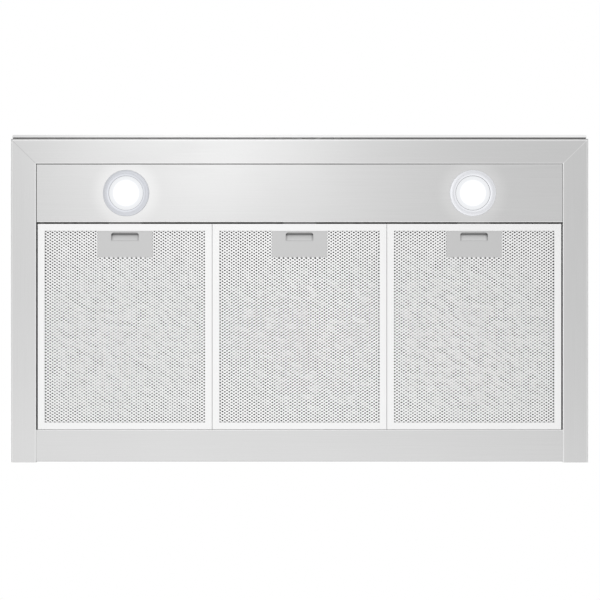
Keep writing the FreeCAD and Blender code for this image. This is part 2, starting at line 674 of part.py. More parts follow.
def pocket_wedge(x, grow):
    """The finger pocket: a steep wall in front, a crown and a ramp, with rounded front corners."""
    front = POCKET_FRONT_Y - grow
    top = LATCH_Z + POCKET_DEPTH + grow
    half = POCKET_WIDTH / 2 + grow
    points = [V(x - half, front, LATCH_Z), V(x - half, front, top),
              V(x - half, front + POCKET_CROWN + grow, top),
              V(x - half, POCKET_FRONT_Y + POCKET_LENGTH + grow, LATCH_Z)]
    wedge = plate(points, V(2 * half, 0, 0))
    foremost = [e for e in wedge.Edges if e.BoundBox.YMax < front + POCKET_CROWN / 2]
    corners = [e for e in foremost if e.BoundBox.XLength < grow + SHEET]
    return wedge.makeFillet(POCKET_CORNER + grow, corners)


def filter_latch(x):
    half = LATCH_WIDTH / 2
    back = FILTER_FRONT_Y + FILTER_BORDER + LATCH_SHOWN
    sheet = box((x - half, x + half), (LATCH_FRONT_Y, back), (LATCH_Z, LATCH_Z + LATCH_SHEET))
    return one(sheet.fuse(pocket_wedge(x, LATCH_SHEET)).cut(pocket_wedge(x, 0)))


def latch_spring(x):
    """A strip of spring steel: a tongue in front, two arms beside the pocket, and legs behind."""
    z = (SPRING_Z, SPRING_Z + SPRING_SHEET)
    arm_in = POCKET_WIDTH / 2 + LATCH_SHEET + SPRING_ARM_GAP
    arm_out = arm_in + SPRING_ARM
    back = POCKET_FRONT_Y - LATCH_SHEET - TOUCH
    tongue = TONGUE_WIDTH / 2
    strip = box((x - arm_out, x + arm_out), (LATCH_FRONT_Y + TOUCH, back), z)
    strip = strip.fuse(box((x - tongue, x + tongue), (FILTER_FRONT_Y - TONGUE_REACH, back), z))
    leg_end = WELL_BACK_Y - SPRING_STOP_GAP
    leg_start = leg_end - SPRING_LEG_RUN
    rise = CORE_Z + CORE_HEIGHT - SPRING_LEG_DROP - SPRING_Z
    for side in (-1, 1):
        near = x + side * arm_in
        far = x + side * arm_out
        arm_x = (min(near, far), max(near, far))
        strip = strip.fuse(box(arm_x, (back - SPRING_ARM, leg_start), z))
        points = [V(arm_x[0], leg_start - 2 * SPRING_SHEET, z[0]), V(arm_x[0], leg_start, z[0]),
                  V(arm_x[0], leg_end, z[0] + rise), V(arm_x[0], leg_end - 2 * SPRING_SHEET, z[0] + rise)]
        strip = strip.fuse(plate(points, V(SPRING_ARM, 0, 0)))
    return one(strip)


# Blower

def scroll_path(grow):
    """The scroll's outline from the throat's rear edge round to its front edge, and its two ends."""
    step = SCROLL_STEP / 2
    centres = [(step, -step), (-step, -step), (-step, step)]
    arcs = []
    for i, (dy, dz) in enumerate(centres):
        radius = SCROLL_START_R + i * SCROLL_STEP + grow
        nose = math.degrees(2 * grow / radius) if i == 0 else 0
        first = 90 - 90 * i - nose
        last = -90 * i
        turns = [math.radians(t) for t in (first, (first + last) / 2, last)]
        points = [V(0, SCROLL_AXIS_Y + dy + radius * math.cos(t), SCROLL_AXIS_Z + dz + radius * math.sin(t))
                  for t in turns]
        arcs.append(points)
    rear = V(0, COLLAR_Y + COLLAR_BORE_R + grow, CANOPY_HEIGHT)
    front = V(0, arcs[-1][-1].y, CANOPY_HEIGHT)
    edges = [Part.LineSegment(rear, arcs[0][0]).toShape()]
    edges += [Part.Arc(*points).toShape() for points in arcs]
    edges.append(Part.LineSegment(arcs[-1][-1], front).toShape())
    return edges, rear, front


def scroll_face(grow):
    edges, rear, front = scroll_path(grow)
    return Part.Face(Part.Wire(Part.__sortEdges__(edges + [Part.LineSegment(front, rear).toShape()])))


def blower_scroll():
    ring = scroll_face(SHEET).cut(scroll_face(0)).extrude(V(2 * SCROLL_HALF, 0, 0))
    ring.translate(V(-SCROLL_HALF, 0, 0))
    return one(ring)


def axis_point(x):
    return V(x, SCROLL_AXIS_Y, SCROLL_AXIS_Z)


def blower_side():
    """The right side plate with its inlet ring, face to face with the scroll's edge."""
    side = scroll_face(SHEET).extrude(V(SHEET, 0, 0))
    side.translate(V(SCROLL_HALF, 0, 0))
    ring = rod(INLET_R + SHEET, axis_point(SCROLL_HALF - INLET_RING), axis_point(SCROLL_HALF + SHEET))
    side = side.fuse(ring)
    return one(side.cut(rod(INLET_R, axis_point(SCROLL_HALF - 2 * INLET_RING), axis_point(MOTOR_X + SHEET))))


def motor():
    start = MOTOR_X - MOTOR_LENGTH
    body = rod(MOTOR_BELL_R, axis_point(start), axis_point(MOTOR_X))
    body = body.fuse(rod(MOTOR_R, axis_point(start + MOTOR_BELL), axis_point(MOTOR_X - MOTOR_BELL)))
    return one(body.cut(rod(SHAFT_R + SHAFT_PLAY, axis_point(start), axis_point(start + MOTOR_SHAFT_SEAT))))


def motor_shaft():
    end = MOTOR_X - MOTOR_LENGTH + MOTOR_SHAFT_SEAT - TOUCH
    return rod(SHAFT_R, axis_point(-HUB_WIDTH / 2), axis_point(end))


def motor_bracket():
    disc = rod(MOTOR_BELL_R, axis_point(MOTOR_X), axis_point(MOTOR_X + ARM_SHEET))
    for i in range(ARM_COUNT):
        arm = box((MOTOR_X, MOTOR_X + ARM_SHEET), (-ARM_WIDTH / 2, ARM_WIDTH / 2), (0, ARM_R))
        arm.rotate(V(0, 0, 0), V(1, 0, 0), 360 * i / ARM_COUNT)
        arm.translate(axis_point(0))
        disc = disc.fuse(arm)
    return one(disc)


def impeller_disc():
    """The disc and hub that carry the drum of blades."""
    disc = rod(IMPELLER_EYE_R, axis_point(-IMPELLER_RING / 2), axis_point(IMPELLER_RING / 2))
    hub = rod(HUB_R, axis_point(-HUB_WIDTH / 2), axis_point(HUB_WIDTH / 2))
    return one(disc.fuse(hub).cut(rod(SHAFT_R, axis_point(-HUB_WIDTH), axis_point(HUB_WIDTH))))


def impeller_drum():
    """Leaning blades held by two end rings and a middle ring."""
    half = IMPELLER_WIDTH / 2
    ring = IMPELLER_RING
    eye = rod(IMPELLER_EYE_R, axis_point(-half - ring), axis_point(half + ring))
    starts = (-half, -ring / 2, half - ring)
    rings = [rod(IMPELLER_R, axis_point(start), axis_point(start + ring)).cut(eye) for start in starts]
    lean = math.radians(BLADE_LEAN)
    outer = IMPELLER_R - SHEET / 2
    inner = IMPELLER_EYE_R + SHEET / 2
    thick = BLADE_SHEET / 2
    swept = math.sin(lean) * (outer - inner)
    blades = []
    for i in range(BLADE_COUNT):
        blade = plate([V(-half, -thick, inner), V(-half, thick, inner),
                       V(-half, thick + swept, outer), V(-half, swept - thick, outer)], V(2 * half, 0, 0))
        blade.rotate(V(0, 0, 0), V(1, 0, 0), 360 * i / BLADE_COUNT)
        blade.translate(axis_point(0))
        blades.append(blade)
    return one(rings[0].multiFuse(rings[1:] + blades))


def capacitor():
    return rod(CAPACITOR_R, V(CAPACITOR_X, CAPACITOR_Y, CANOPY_HEIGHT - CAPACITOR_LENGTH),
               V(CAPACITOR_X, CAPACITOR_Y, CANOPY_HEIGHT))


# Electrics

def box_screw_xs():
    reach = BOX_WIDTH / 2 - BOX_POST_INSET
    return (BOX_X - reach, BOX_X + reach)


def junction_box():
    """A box on the back panel, open in front, with two posts for the cover's screws."""
    x = (BOX_X - BOX_WIDTH / 2, BOX_X + BOX_WIDTH / 2)
    z = (BOX_Z - BOX_HEIGHT / 2, BOX_Z + BOX_HEIGHT / 2)
    shape = box(x, (BOX_FRONT_Y, -SKIN), z)
    shape = shape.cut(box((x[0] + SKIN, x[1] - SKIN), (BOX_FRONT_Y, -2 * SKIN), (z[0] + SKIN, z[1] - SKIN)))
    for screw_x in box_screw_xs():
        shape = shape.fuse(rod(BOX_POST_R, V(screw_x, BOX_FRONT_Y, BOX_Z), V(screw_x, -SKIN, BOX_Z)))
    for screw_x in box_screw_xs():
        shape = shape.cut(rod(SCREW_R + SCREW_PLAY, V(screw_x, BOX_FRONT_Y, BOX_Z),
                              V(screw_x, BOX_FRONT_Y + 2 * SCREW_LENGTH, BOX_Z)))
    return one(shape)


def junction_box_cover():
    x = (BOX_X - BOX_WIDTH / 2, BOX_X + BOX_WIDTH / 2)
    z = (BOX_Z - BOX_HEIGHT / 2, BOX_Z + BOX_HEIGHT / 2)
    cover = box(x, (BOX_FRONT_Y - SKIN, BOX_FRONT_Y), z)
    for screw_x in box_screw_xs():
        cover = cover.cut(rod(SCREW_R + SCREW_PLAY, V(screw_x, BOX_FRONT_Y - 2 * SKIN, BOX_Z),
                              V(screw_x, BOX_FRONT_Y + SKIN, BOX_Z)))
    return one(cover)


def cable_gland():
    """A bushing through the top plate, with a flange above and a nut below."""
    at = V(GLAND_X, GLAND_Y, 0)
    wide = GLAND_R + GLAND_FLANGE
    low = CANOPY_HEIGHT - GLAND_NUT_HEIGHT
    high = TOP_Z + GLAND_FLANGE_SHEET
    gland = rod(GLAND_R, at + V(0, 0, low), at + V(0, 0, high))
    gland = gland.fuse(rod(wide, at + V(0, 0, TOP_Z), at + V(0, 0, high)))
    gland = gland.fuse(rod(wide, at + V(0, 0, low), at + V(0, 0, CANOPY_HEIGHT)))
    return one(gland.cut(rod(GLAND_BORE_R, at + V(0, 0, low), at + V(0, 0, high))))


# Collar and damper

def collar_point(x, y, z):
    return V(x, COLLAR_Y + y, z)


def collar_flange():
    """A ring on the top plate that carries the duct collar."""
    low = collar_point(0, 0, TOP_Z)
    high = collar_point(0, 0, COLLAR_FLANGE_TOP)
    ring = rod(COLLAR_R + COLLAR_FLANGE, low, high).cut(rod(COLLAR_BORE_R, low, high))
    cuts = [rod(SCREW_R + SCREW_PLAY, V(x, y, TOP_Z), V(x, y, COLLAR_FLANGE_TOP))
            for x, y in collar_screw_places()]
    return one(ring.cut(Part.makeCompound(cuts)))


def exhaust_collar():
    """A duct collar with pivot holes across it and a stop under each flap's edge."""
    inner = COLLAR_BORE_R
    low = collar_point(0, 0, COLLAR_FLANGE_TOP)
    high = collar_point(0, 0, TOP_Z + COLLAR_HEIGHT)
    shape = rod(COLLAR_R, low, high).cut(rod(inner, low, high))
    stop_top = PIVOT_Z - FLAP_SHEET / 2 - TOUCH
    for side in (-1, 1):
        ends = sorted((side * (inner - STOP_LENGTH), side * (inner + COLLAR_WALL / 4)))
        stop = box((-STOP_WIDTH / 2, STOP_WIDTH / 2), (COLLAR_Y + ends[0], COLLAR_Y + ends[1]),
                   (stop_top - STOP_HEIGHT, stop_top))
        shape = shape.fuse(stop)
    past = COLLAR_R + COLLAR_FLANGE
    pivot = rod(PIVOT_R + SHAFT_PLAY, collar_point(-past, 0, PIVOT_Z), collar_point(past, 0, PIVOT_Z))
    return one(shape.cut(pivot))


def damper_pin():
    half = COLLAR_R - COLLAR_WALL / 2
    return rod(PIVOT_R, collar_point(-half, 0, PIVOT_Z), collar_point(half, 0, PIVOT_Z))


def damper_flap(side):
    """A half disc hung on the pin by two knuckles, side -1 in front and +1 behind."""
    radius = COLLAR_BORE_R - FLAP_EDGE_GAP
    half_sheet = FLAP_SHEET / 2
    disc = rod(radius, collar_point(0, 0, PIVOT_Z - half_sheet), collar_point(0, 0, PIVOT_Z + half_sheet))
    near = sorted((side * FLAP_AXIS_GAP, side * 2 * COLLAR_R))
    flap = disc.common(box((-COLLAR_R, COLLAR_R), (COLLAR_Y + near[0], COLLAR_Y + near[1]),
                           (PIVOT_Z - FLAP_SHEET, PIVOT_Z + FLAP_SHEET)))
    pitch = KNUCKLE_LENGTH + KNUCKLE_GAP
    starts = [side * pitch / 2 + k * pitch - KNUCKLE_LENGTH / 2 for k in (-1, 1)]
    for start in starts:
        knuckle = rod(PIVOT_R + KNUCKLE_WALL, collar_point(start, 0, PIVOT_Z),
                      collar_point(start + KNUCKLE_LENGTH, 0, PIVOT_Z))
        arm_y = sorted((side * PIVOT_R, side * (FLAP_AXIS_GAP + SHEET)))
        arm = box((start, start + KNUCKLE_LENGTH), (COLLAR_Y + arm_y[0], COLLAR_Y + arm_y[1]),
                  (PIVOT_Z - half_sheet, PIVOT_Z + half_sheet))
        flap = flap.fuse(knuckle).fuse(arm)
    bore = rod(PIVOT_R + SHAFT_PLAY, collar_point(-COLLAR_R, 0, PIVOT_Z), collar_point(COLLAR_R, 0, PIVOT_Z))
    return one(flap.cut(bore))


# Chimney

def chimney_cover(half, front, back, low, height):
    """A three-sided cover with a narrow return along each rear edge."""
    inner = half - CHIMNEY_RETURN
    outline = [(-inner, back), (-half, back), (-half, front), (half, front), (half, back), (inner, back)]
    return folded_sheet(outline, in_xy(low), SHEET, V(0, 0, height))


def chimney_foot():
    """An upright strip on the top plate, inside the lower cover on three sides."""
    half = CHIMNEY_INSIDE
    front = -CHIMNEY_DEPTH + SHEET
    back = -CHIMNEY_FOOT_BACK
    outline = [(-half, back), (-half, front), (half, front), (half, back)]
    strip = folded_sheet(outline, in_xy(TOP_Z), SHEET, V(0, 0, CHIMNEY_FOOT))
    hole = SCREW_R + SCREW_PLAY
    for y in CHIMNEY_SCREW_YS:
        strip = strip.cut(rod(hole, V(-2 * half, y, CHIMNEY_SCREW_Z), V(2 * half, y, CHIMNEY_SCREW_Z)))
    return strip.Solids[0]


def lower_chimney():
    half = CHIMNEY_WIDTH / 2
    cover = chimney_cover(half, -CHIMNEY_DEPTH, 0, TOP_Z, LOWER_HEIGHT)
    hole = SCREW_R + SCREW_PLAY
    for y in CHIMNEY_SCREW_YS:
        cover = cover.cut(rod(hole, V(-2 * half, y, CHIMNEY_SCREW_Z), V(2 * half, y, CHIMNEY_SCREW_Z)))
    return cover.Solids[0]


def upper_chimney():
    front = -CHIMNEY_DEPTH + SHEET + CHIMNEY_GAP
    cover = chimney_cover(UPPER_HALF, front, -UPPER_BACK_GAP, UPPER_BASE, UPPER_HEIGHT)
    middle = -CHIMNEY_DEPTH / 2
    cuts = []
    for i in range(VENT_COUNT):
        z = UPPER_TOP - VENT_DROP - i * VENT_PITCH
        cuts.append(box((-CHIMNEY_WIDTH, CHIMNEY_WIDTH), (middle - VENT_LENGTH / 2, middle + VENT_LENGTH / 2),
                        (z - VENT_HEIGHT, z)))
    cuts.append(rod(SCREW_R + SCREW_PLAY, V(-CHIMNEY_WIDTH, BRACKET_SCREW_Y, BRACKET_MID_Z),
                    V(CHIMNEY_WIDTH, BRACKET_SCREW_Y, BRACKET_MID_Z)))
    return cover.cut(Part.makeCompound(cuts)).Solids[0]


def chimney_bracket():
    """A strap with two ears, which holds the upper cover to the wall."""
    half = UPPER_HALF - SHEET
    front = BRACKET_Y - BRACKET_EAR
    outline = [(half, front), (half, BRACKET_Y), (-half, BRACKET_Y), (-half, front)]
    strap = folded_sheet(outline, in_xy(BRACKET_Z), BRACKET_SHEET, V(0, 0, BRACKET_HEIGHT))
    cuts = [rod(BRACKET_HOLE_R, V(x, BRACKET_Y - 2 * BRACKET_SHEET, BRACKET_MID_Z), V(x, 0, BRACKET_MID_Z))
            for x in (-BRACKET_SPACING / 2, BRACKET_SPACING / 2)]
    cuts.append(rod(SCREW_R + SCREW_PLAY, V(-CHIMNEY_WIDTH, BRACKET_SCREW_Y, BRACKET_MID_Z),
                    V(CHIMNEY_WIDTH, BRACKET_SCREW_Y, BRACKET_MID_Z)))
    return strap.cut(Part.makeCompound(cuts)).Solids[0]


# Screws

def screw(seat, way):
    """A pan head screw whose head sits at a point and whose shank goes the other way."""
    head = rod(SCREW_HEAD_R, seat, seat + way * SCREW_HEAD)
    return one(head.fuse(rod(SCREW_R, seat - way * SCREW_LENGTH, seat)))


def hood_screws():
    screws = [screw(V(x, y, COLLAR_FLANGE_TOP), V(0, 0, 1)) for x, y in collar_screw_places()]
    for side in (-1, 1):
        screws += [screw(V(side * CHIMNEY_WIDTH / 2, y, CHIMNEY_SCREW_Z), V(side, 0, 0))
                   for y in CHIMNEY_SCREW_YS]
    screws += [screw(V(x, BOX_FRONT_Y - SKIN, BOX_Z), V(0, -1, 0)) for x in box_screw_xs()]
    return Part.makeCompound(screws)


def chimney_screws():
    places = [(side, V(side * UPPER_HALF, BRACKET_SCREW_Y, BRACKET_MID_Z)) for side in (-1, 1)]
    return Part.makeCompound([screw(seat, V(side, 0, 0)) for side, seat in places])


def all_pieces():
    pieces = canopy_skins()
    pieces.update(rim_flanges())
    pieces["back_panel"] = back_panel()
    pieces["top_plate"] = top_plate()
    pieces["light_panel"] = light_panel()
    pieces["rear_bar"] = rear_bar()
    pieces["front_fascia"] = front_fascia()
    pieces["switch_block"] = switch_block()
    pieces["control_board"] = control_board()
    for name, x in zip(BUTTON_NAMES, BUTTON_XS):
        pieces["button_" + name] = push_button(x)
    pieces["lamp_bezels"] = at_both_lamps(lamp_bezel)
    pieces["lamp_lenses"] = at_both_lamps(lamp_lens)
    pieces["lamp_housings"] = at_both_lamps(lamp_housing)
    pieces["lamp_clips"] = lamp_clips()
    for name, x in zip(FILTER_NAMES, FILTER_CENTRES):
        pieces["filter_frame_" + name] = filter_frame(x)
        pieces["filter_mesh_" + name] = filter_mesh(x)
        pieces["filter_core_" + name] = filter_core(x)
        pieces["filter_latch_" + name] = filter_latch(x)
        pieces["latch_spring_" + name] = latch_spring(x)
    side = blower_side()
    pieces["blower_right_plate"] = side
    pieces["blower_left_plate"] = side.mirror(V(0, 0, 0), V(1, 0, 0))
    pieces["blower_scroll"] = blower_scroll()
    pieces["motor"] = motor()
    pieces["motor_shaft"] = motor_shaft()
    pieces["motor_bracket"] = motor_bracket()
    pieces["impeller_disc"] = impeller_disc()
    pieces["impeller_drum"] = impeller_drum()
    pieces["capacitor"] = capacitor()
    pieces["junction_box"] = junction_box()
    pieces["junction_box_cover"] = junction_box_cover()
    pieces["cable_gland"] = cable_gland()
    pieces["collar_flange"] = collar_flange()
    pieces["exhaust_collar"] = exhaust_collar()
    pieces["damper_pin"] = damper_pin()
    pieces["damper_flap_front"] = damper_flap(-1)
    pieces["damper_flap_rear"] = damper_flap(1)
    pieces["chimney_foot"] = chimney_foot()
    pieces["lower_chimney"] = lower_chimney()
    pieces["upper_chimney"] = upper_chimney()
    pieces["chimney_bracket"] = chimney_bracket()
    pieces["hood_screws"] = hood_screws()
    pieces["chimney_screws"] = chimney_screws()
    return pieces


def main():
    os.makedirs("parts", exist_ok=True)
    for name, shape in all_pieces().items():
        placed = shape.copy()
        placed.translate(V(0, 0, -WALL_HEIGHT))
        print(name, "solids", len(placed.Solids), "valid", placed.isValid(), "volume", round(placed.Volume))
        placed.exportStep("parts/" + name + ".step")


main()
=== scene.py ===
# %% [markdown]
# # A wall mount range hood, seen from below
# The sheets, filters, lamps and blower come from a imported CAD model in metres. Its origin lies on
# the wall between the screws, +Y goes into the wall and +Z is up. This lesson gives every piece its
# finish, and models what a plain solid can't show: the twisted strands of the filters' expanded
# mesh, the lamps, the dished buttons and the screw heads.

# %% Load the frame
import bmesh
import bpy
import json
import math
from mathutils import Matrix, Vector


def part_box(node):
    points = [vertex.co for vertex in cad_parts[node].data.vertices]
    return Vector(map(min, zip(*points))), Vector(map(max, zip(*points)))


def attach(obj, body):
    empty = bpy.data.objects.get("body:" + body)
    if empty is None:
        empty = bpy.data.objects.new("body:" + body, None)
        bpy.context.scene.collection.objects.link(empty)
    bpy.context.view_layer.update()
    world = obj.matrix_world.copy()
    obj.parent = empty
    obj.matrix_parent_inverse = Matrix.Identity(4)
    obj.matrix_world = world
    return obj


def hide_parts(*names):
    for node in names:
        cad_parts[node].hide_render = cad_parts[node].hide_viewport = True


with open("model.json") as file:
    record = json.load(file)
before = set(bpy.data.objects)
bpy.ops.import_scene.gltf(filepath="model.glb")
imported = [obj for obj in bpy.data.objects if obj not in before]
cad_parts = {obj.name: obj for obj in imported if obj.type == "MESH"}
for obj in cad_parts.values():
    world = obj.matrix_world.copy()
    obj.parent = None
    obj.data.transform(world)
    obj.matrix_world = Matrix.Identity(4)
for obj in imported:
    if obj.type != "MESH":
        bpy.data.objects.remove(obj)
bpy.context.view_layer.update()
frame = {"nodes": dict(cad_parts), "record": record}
nodes = frame["nodes"]
slot_of = {part["node"]: part["material_slot"] for part in frame["record"]["subparts"]}
MM = 0.001

# %% [markdown]
# ## The camera
# The picture looks straight up, with the front edge of the hood at the top. A camera turned half
# round about X does that: its right stays +X and its up becomes -Y. It could sit close with a wide
# lens, but the sides of the hood look square in the picture, so it stands far below with a long
# one.

# %% Place the camera
PICTURE = 600
PIXEL = 1.557 * MM
VIEW_DISTANCE = 2.4
LOOK_AT = Vector((0.8 * MM, -253 * MM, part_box("front_flange")[0].z))

camera_data = bpy.data.cameras.new("camera")
camera_data.lens = camera_data.sensor_width * VIEW_DISTANCE / (PICTURE * PIXEL)
camera = bpy.data.objects.new("camera", camera_data)
camera.location = LOOK_AT - Vector((0, 0, VIEW_DISTANCE))
camera.rotation_euler = (math.pi, 0, 0)
bpy.context.scene.collection.objects.link(camera)
bpy.context.scene.camera = camera
bpy.context.scene.view_settings.view_transform = "Standard"
print("lens", round(camera_data.lens, 1), "mm at", VIEW_DISTANCE, "m")

# %% [markdown]
# ## Shader maths
# Nodes could be placed and linked one by one, but then a simple sum takes six lines. Here one small
# class wraps a socket: plus, minus and times add a Math node, and make() adds any other node, with
# its settings first and then a value or a link for each input.

# %% A wire that does sums
class Wire:
    """A socket in a node tree."""

    def __init__(self, tree, socket=None):
        self.tree = tree
        self.socket = socket

    def make(self, kind, settings={}, inputs={}, out=0):
        node = self.tree.nodes.new(kind)
        for name, value in settings.items():
            setattr(node, name, value)
        for name, value in inputs.items():
            self.feed(node.inputs[name], value)
        return Wire(self.tree, node.outputs[out])

    def feed(self, target, value):
        if isinstance(value, Wire):
            self.tree.links.new(value.socket, target)
        else:
            target.default_value = value

    def other(self, out):
        return Wire(self.tree, self.socket.node.outputs[out])

    def sum(self, operation, first, second):
        return self.make("ShaderNodeMath", {"operation": operation}, {0: first, 1: second})

    def __add__(self, value):
        return self.sum("ADD", self, value)

    def __radd__(self, value):
        return self.sum("ADD", value, self)

    def __sub__(self, value):
        return self.sum("SUBTRACT", self, value)

    def __rsub__(self, value):
        return self.sum("SUBTRACT", value, self)

    def __mul__(self, value):
        return self.sum("MULTIPLY", self, value)

    def __rmul__(self, value):
        return self.sum("MULTIPLY", value, self)


print("wire operators: + - *")

# %% [markdown]
# ## The studio
# Brushed metal shows what stands in front of it, so the light is what the underside reflects: a
# pale floor far below, a soft lamp under the front left corner and open white all round. The world
# is white where it is seen and a shade darker where it lights the hood. The floor is white to the
# camera, a shade darker in reflections, and matt paint for all other light.

# %% White world
AMBIENT = 0.95


def seen_rays(wire):
    """1 for what the camera sees, itself or in a reflection or through glass."""
    ray = wire.make("ShaderNodeLightPath", out="Is Camera Ray")
    return ray + ray.other("Is Glossy Ray") + ray.other("Is Transmission Ray")


world = bpy.data.worlds.new("studio")
world.use_nodes = True
bpy.context.scene.world = world
sky = Wire(world.node_tree)
background = world.node_tree.nodes["Background"]
background.inputs["Color"].default_value = (1, 1, 1, 1)
sky.feed(background.inputs["Strength"], AMBIENT + (1 - AMBIENT) * seen_rays(sky))
print("world level", AMBIENT)

# %% Floor paint
FLOOR_TONE = 0.92
FLOOR_SHINE = 0.885
MATT = 0.9


def grey(tone):
    return (tone, tone, tone, 1)


def new_finish(name, constants):
    """A material and a wire in its tree, with the shader's plain values set."""
    finish = bpy.data.materials.new(name)
    finish.use_nodes = True
    shader = finish.node_tree.nodes["Principled BSDF"]
    for socket, value in constants.items():
        shader.inputs[socket].default_value = value
    return finish, Wire(finish.node_tree)


def floor_paint():
    """Paint whose glow is only for the eye: it isn't sampled as a lamp."""
    paint, wire = new_finish("floor_paint", {"Base Color": grey(FLOOR_TONE), "Roughness": MATT})
    paint.cycles.emission_sampling = "NONE"
    tree = paint.node_tree
    matt = Wire(tree, tree.nodes["Principled BSDF"].outputs[0])
    shine = wire.make("ShaderNodeEmission", {}, {"Strength": FLOOR_SHINE})
    white = wire.make("ShaderNodeEmission", {}, {"Strength": 1.0})
    to_camera = wire.make("ShaderNodeLightPath", out="Is Camera Ray")
    reflected = wire.make("ShaderNodeMixShader", {}, {0: seen_rays(wire), 1: matt, 2: shine})
    shown = wire.make("ShaderNodeMixShader", {}, {0: to_camera, 1: reflected, 2: white})
    wire.feed(tree.nodes["Material Output"].inputs["Surface"], shown)
    return paint


pale_paint = floor_paint()
print(pale_paint.name, "tone", FLOOR_TONE, "in reflections", FLOOR_SHINE)

# %% Pale floor
FLOOR_DROP = 6.0
FLOOR_SIZE = 14.0


def linked(name, mesh, finish):
    """A bmesh as an object of the scene, in one finish."""
    data = bpy.data.meshes.new(name)
    mesh.to_mesh(data)
    mesh.free()
    data.materials.append(finish)
    thing = bpy.data.objects.new(name, data)
    bpy.context.scene.collection.objects.link(thing)
    return thing


floor_mesh = bmesh.new()
bmesh.ops.create_grid(floor_mesh, x_segments=1, y_segments=1, size=FLOOR_SIZE)
bmesh.ops.translate(floor_mesh, verts=floor_mesh.verts, vec=(0, 0, LOOK_AT.z - FLOOR_DROP))
floor = linked("floor", floor_mesh, pale_paint)
print("floor at", round(LOOK_AT.z - FLOOR_DROP, 2), "m")

# %% Soft lamps
LAMP_DEPTH = LOOK_AT.z - VIEW_DISTANCE


def soft_lamp(name, place, aim, wide, deep, radiance):
    """A flat lamp whose face is as bright as radiance."""
    data = bpy.data.lights.new(name, "AREA")
    data.shape = "RECTANGLE"
    data.size = wide
    data.size_y = deep
    data.energy = radiance * math.pi * wide * deep
    lamp = bpy.data.objects.new(name, data)
    lamp.location = place
    lamp.rotation_euler = (Vector(aim) - Vector(place)).to_track_quat("-Z", "Y").to_euler()
    lamp.visible_camera = False
    bpy.context.scene.collection.objects.link(lamp)
    print(name, round(data.energy, 2), "W")


soft_lamp("under_front_lamp", place=(-0.30, -0.82, LAMP_DEPTH), aim=(-0.2, -0.4, LOOK_AT.z),
          wide=0.6, deep=0.5, radiance=2.4)
soft_lamp("under_rear_lamp", place=(-0.1, 0.45, LAMP_DEPTH), aim=(0, 0, LOOK_AT.z),
          wide=2.3, deep=0.75, radiance=0.56)
soft_lamp("front_lamp", place=(-1.8, -2.8, 1.9), aim=(0, -0.2, 0.2),
          wide=2.2, deep=2.2, radiance=0.32)

# %% [markdown]
# ## Grey cards
# White all round leaves steel without form: every side shows the same white. A photographer stands
# a grey card beside such a piece, and its sides turn a shade darker than its front. The cards stand
# above the rim, so the underside doesn't show them, and the camera doesn't see them.

# %% A card on each side
CARD_AWAY = 2.6
CARD_SIZE = 1.8
CARD_FOOT = 0.05


def grey_card(name, x, tone):
    paint = new_finish(name + "_paint", {"Base Color": grey(tone), "Roughness": MATT})[0]
    sheet = bmesh.new()
    bmesh.ops.create_grid(sheet, x_segments=1, y_segments=1, size=CARD_SIZE)
    bmesh.ops.rotate(sheet, verts=sheet.verts, matrix=Matrix.Rotation(math.radians(90), 3, "Y"))
    bmesh.ops.translate(sheet, verts=sheet.verts, vec=(x, LOOK_AT.y, CARD_FOOT + CARD_SIZE))
    card = linked(name, sheet, paint)
    card.visible_camera = False
    print(name, "at x", x, "tone", tone)


grey_card("left_card", -CARD_AWAY, tone=0.35)
grey_card("right_card", CARD_AWAY, tone=0.12)

# %% [markdown]
# ## Brushed steel
# Stainless sheet is ground along one direction, so its scratches are long and thin. A picture of
# scratches could be laid on it, but a noise stretched along the grain does the same from any
# distance. It moves the tone, the roughness and a very shallow bump together.

# %% Noise, mixes and bumps
FINE_DETAIL = 3.0


def plug(finish, wires):
    """Link wires to the sockets of a material's shader."""
    shader = finish.node_tree.nodes["Principled BSDF"]
    for socket, wire in wires.items():
        wire.feed(shader.inputs[socket], wire)


def on_piece(wire):
    """A point's place in its piece's own coordinates."""
    return wire.make("ShaderNodeTexCoord", out="Object")


def noise(wire, scale, detail=2.0):
    """Noise on a piece, stretched by a scale along each axis."""
    place = wire.make("ShaderNodeMapping", {}, {"Vector": on_piece(wire), "Scale": scale})
    return wire.make("ShaderNodeTexNoise", {}, {"Vector": place, "Scale": 1.0, "Detail": detail})


def fine_grain(wire, grain):
    return noise(wire, (grain, grain, grain), FINE_DETAIL)


def shade(wire, tone):
    """A grey colour from a number."""
    return wire.make("ShaderNodeCombineColor", {}, {"Red": tone, "Green": tone, "Blue": tone})


def between(wire, share, first, second):
    """A colour between two colours."""
    return wire.make("ShaderNodeMix", {"data_type": "RGBA"}, {0: share, 6: first, 7: second}, out=2)


def bumped(wire, height, depth):
    return wire.make("ShaderNodeBump", {}, {"Height": height, "Distance": depth, "Strength": 1.0})


print("noise, mixes and bumps read each piece's own coordinates")

# %% Masks near edges and rings
SOFT = 0.3


def falling(wire, value, start, end, style="SMOOTHSTEP"):
    """1 up to a start, and 0 beyond an end."""
    return wire.make("ShaderNodeMapRange", {"interpolation_type": style},
                     {"Value": value, "From Min": start, "From Max": end,
                      "To Min": 1.0, "To Max": 0.0})


def along_axis(wire, axis):
    """How far a point of the piece lies along an axis."""
    return wire.make("ShaderNodeVectorMath", {"operation": "DOT_PRODUCT"},
                     {0: on_piece(wire), 1: axis}, out="Value")


def near_edge(wire, across, edge, width, soft=SOFT, fade=None):
    """1 on an edge of a sheet, and 0 beyond a width from it.

    A fade is an axis along the edge, with a start and an end on it.
    """
    reach = along_axis(wire, across) - edge
    away = wire.make("ShaderNodeMath", {"operation": "ABSOLUTE"}, {0: reach})
    mask = falling(wire, away, (1 - soft) * width, width)
    if fade:
        run, start, end = fade
        mask = mask * falling(wire, along_axis(wire, run), start, end, "LINEAR")
    return mask


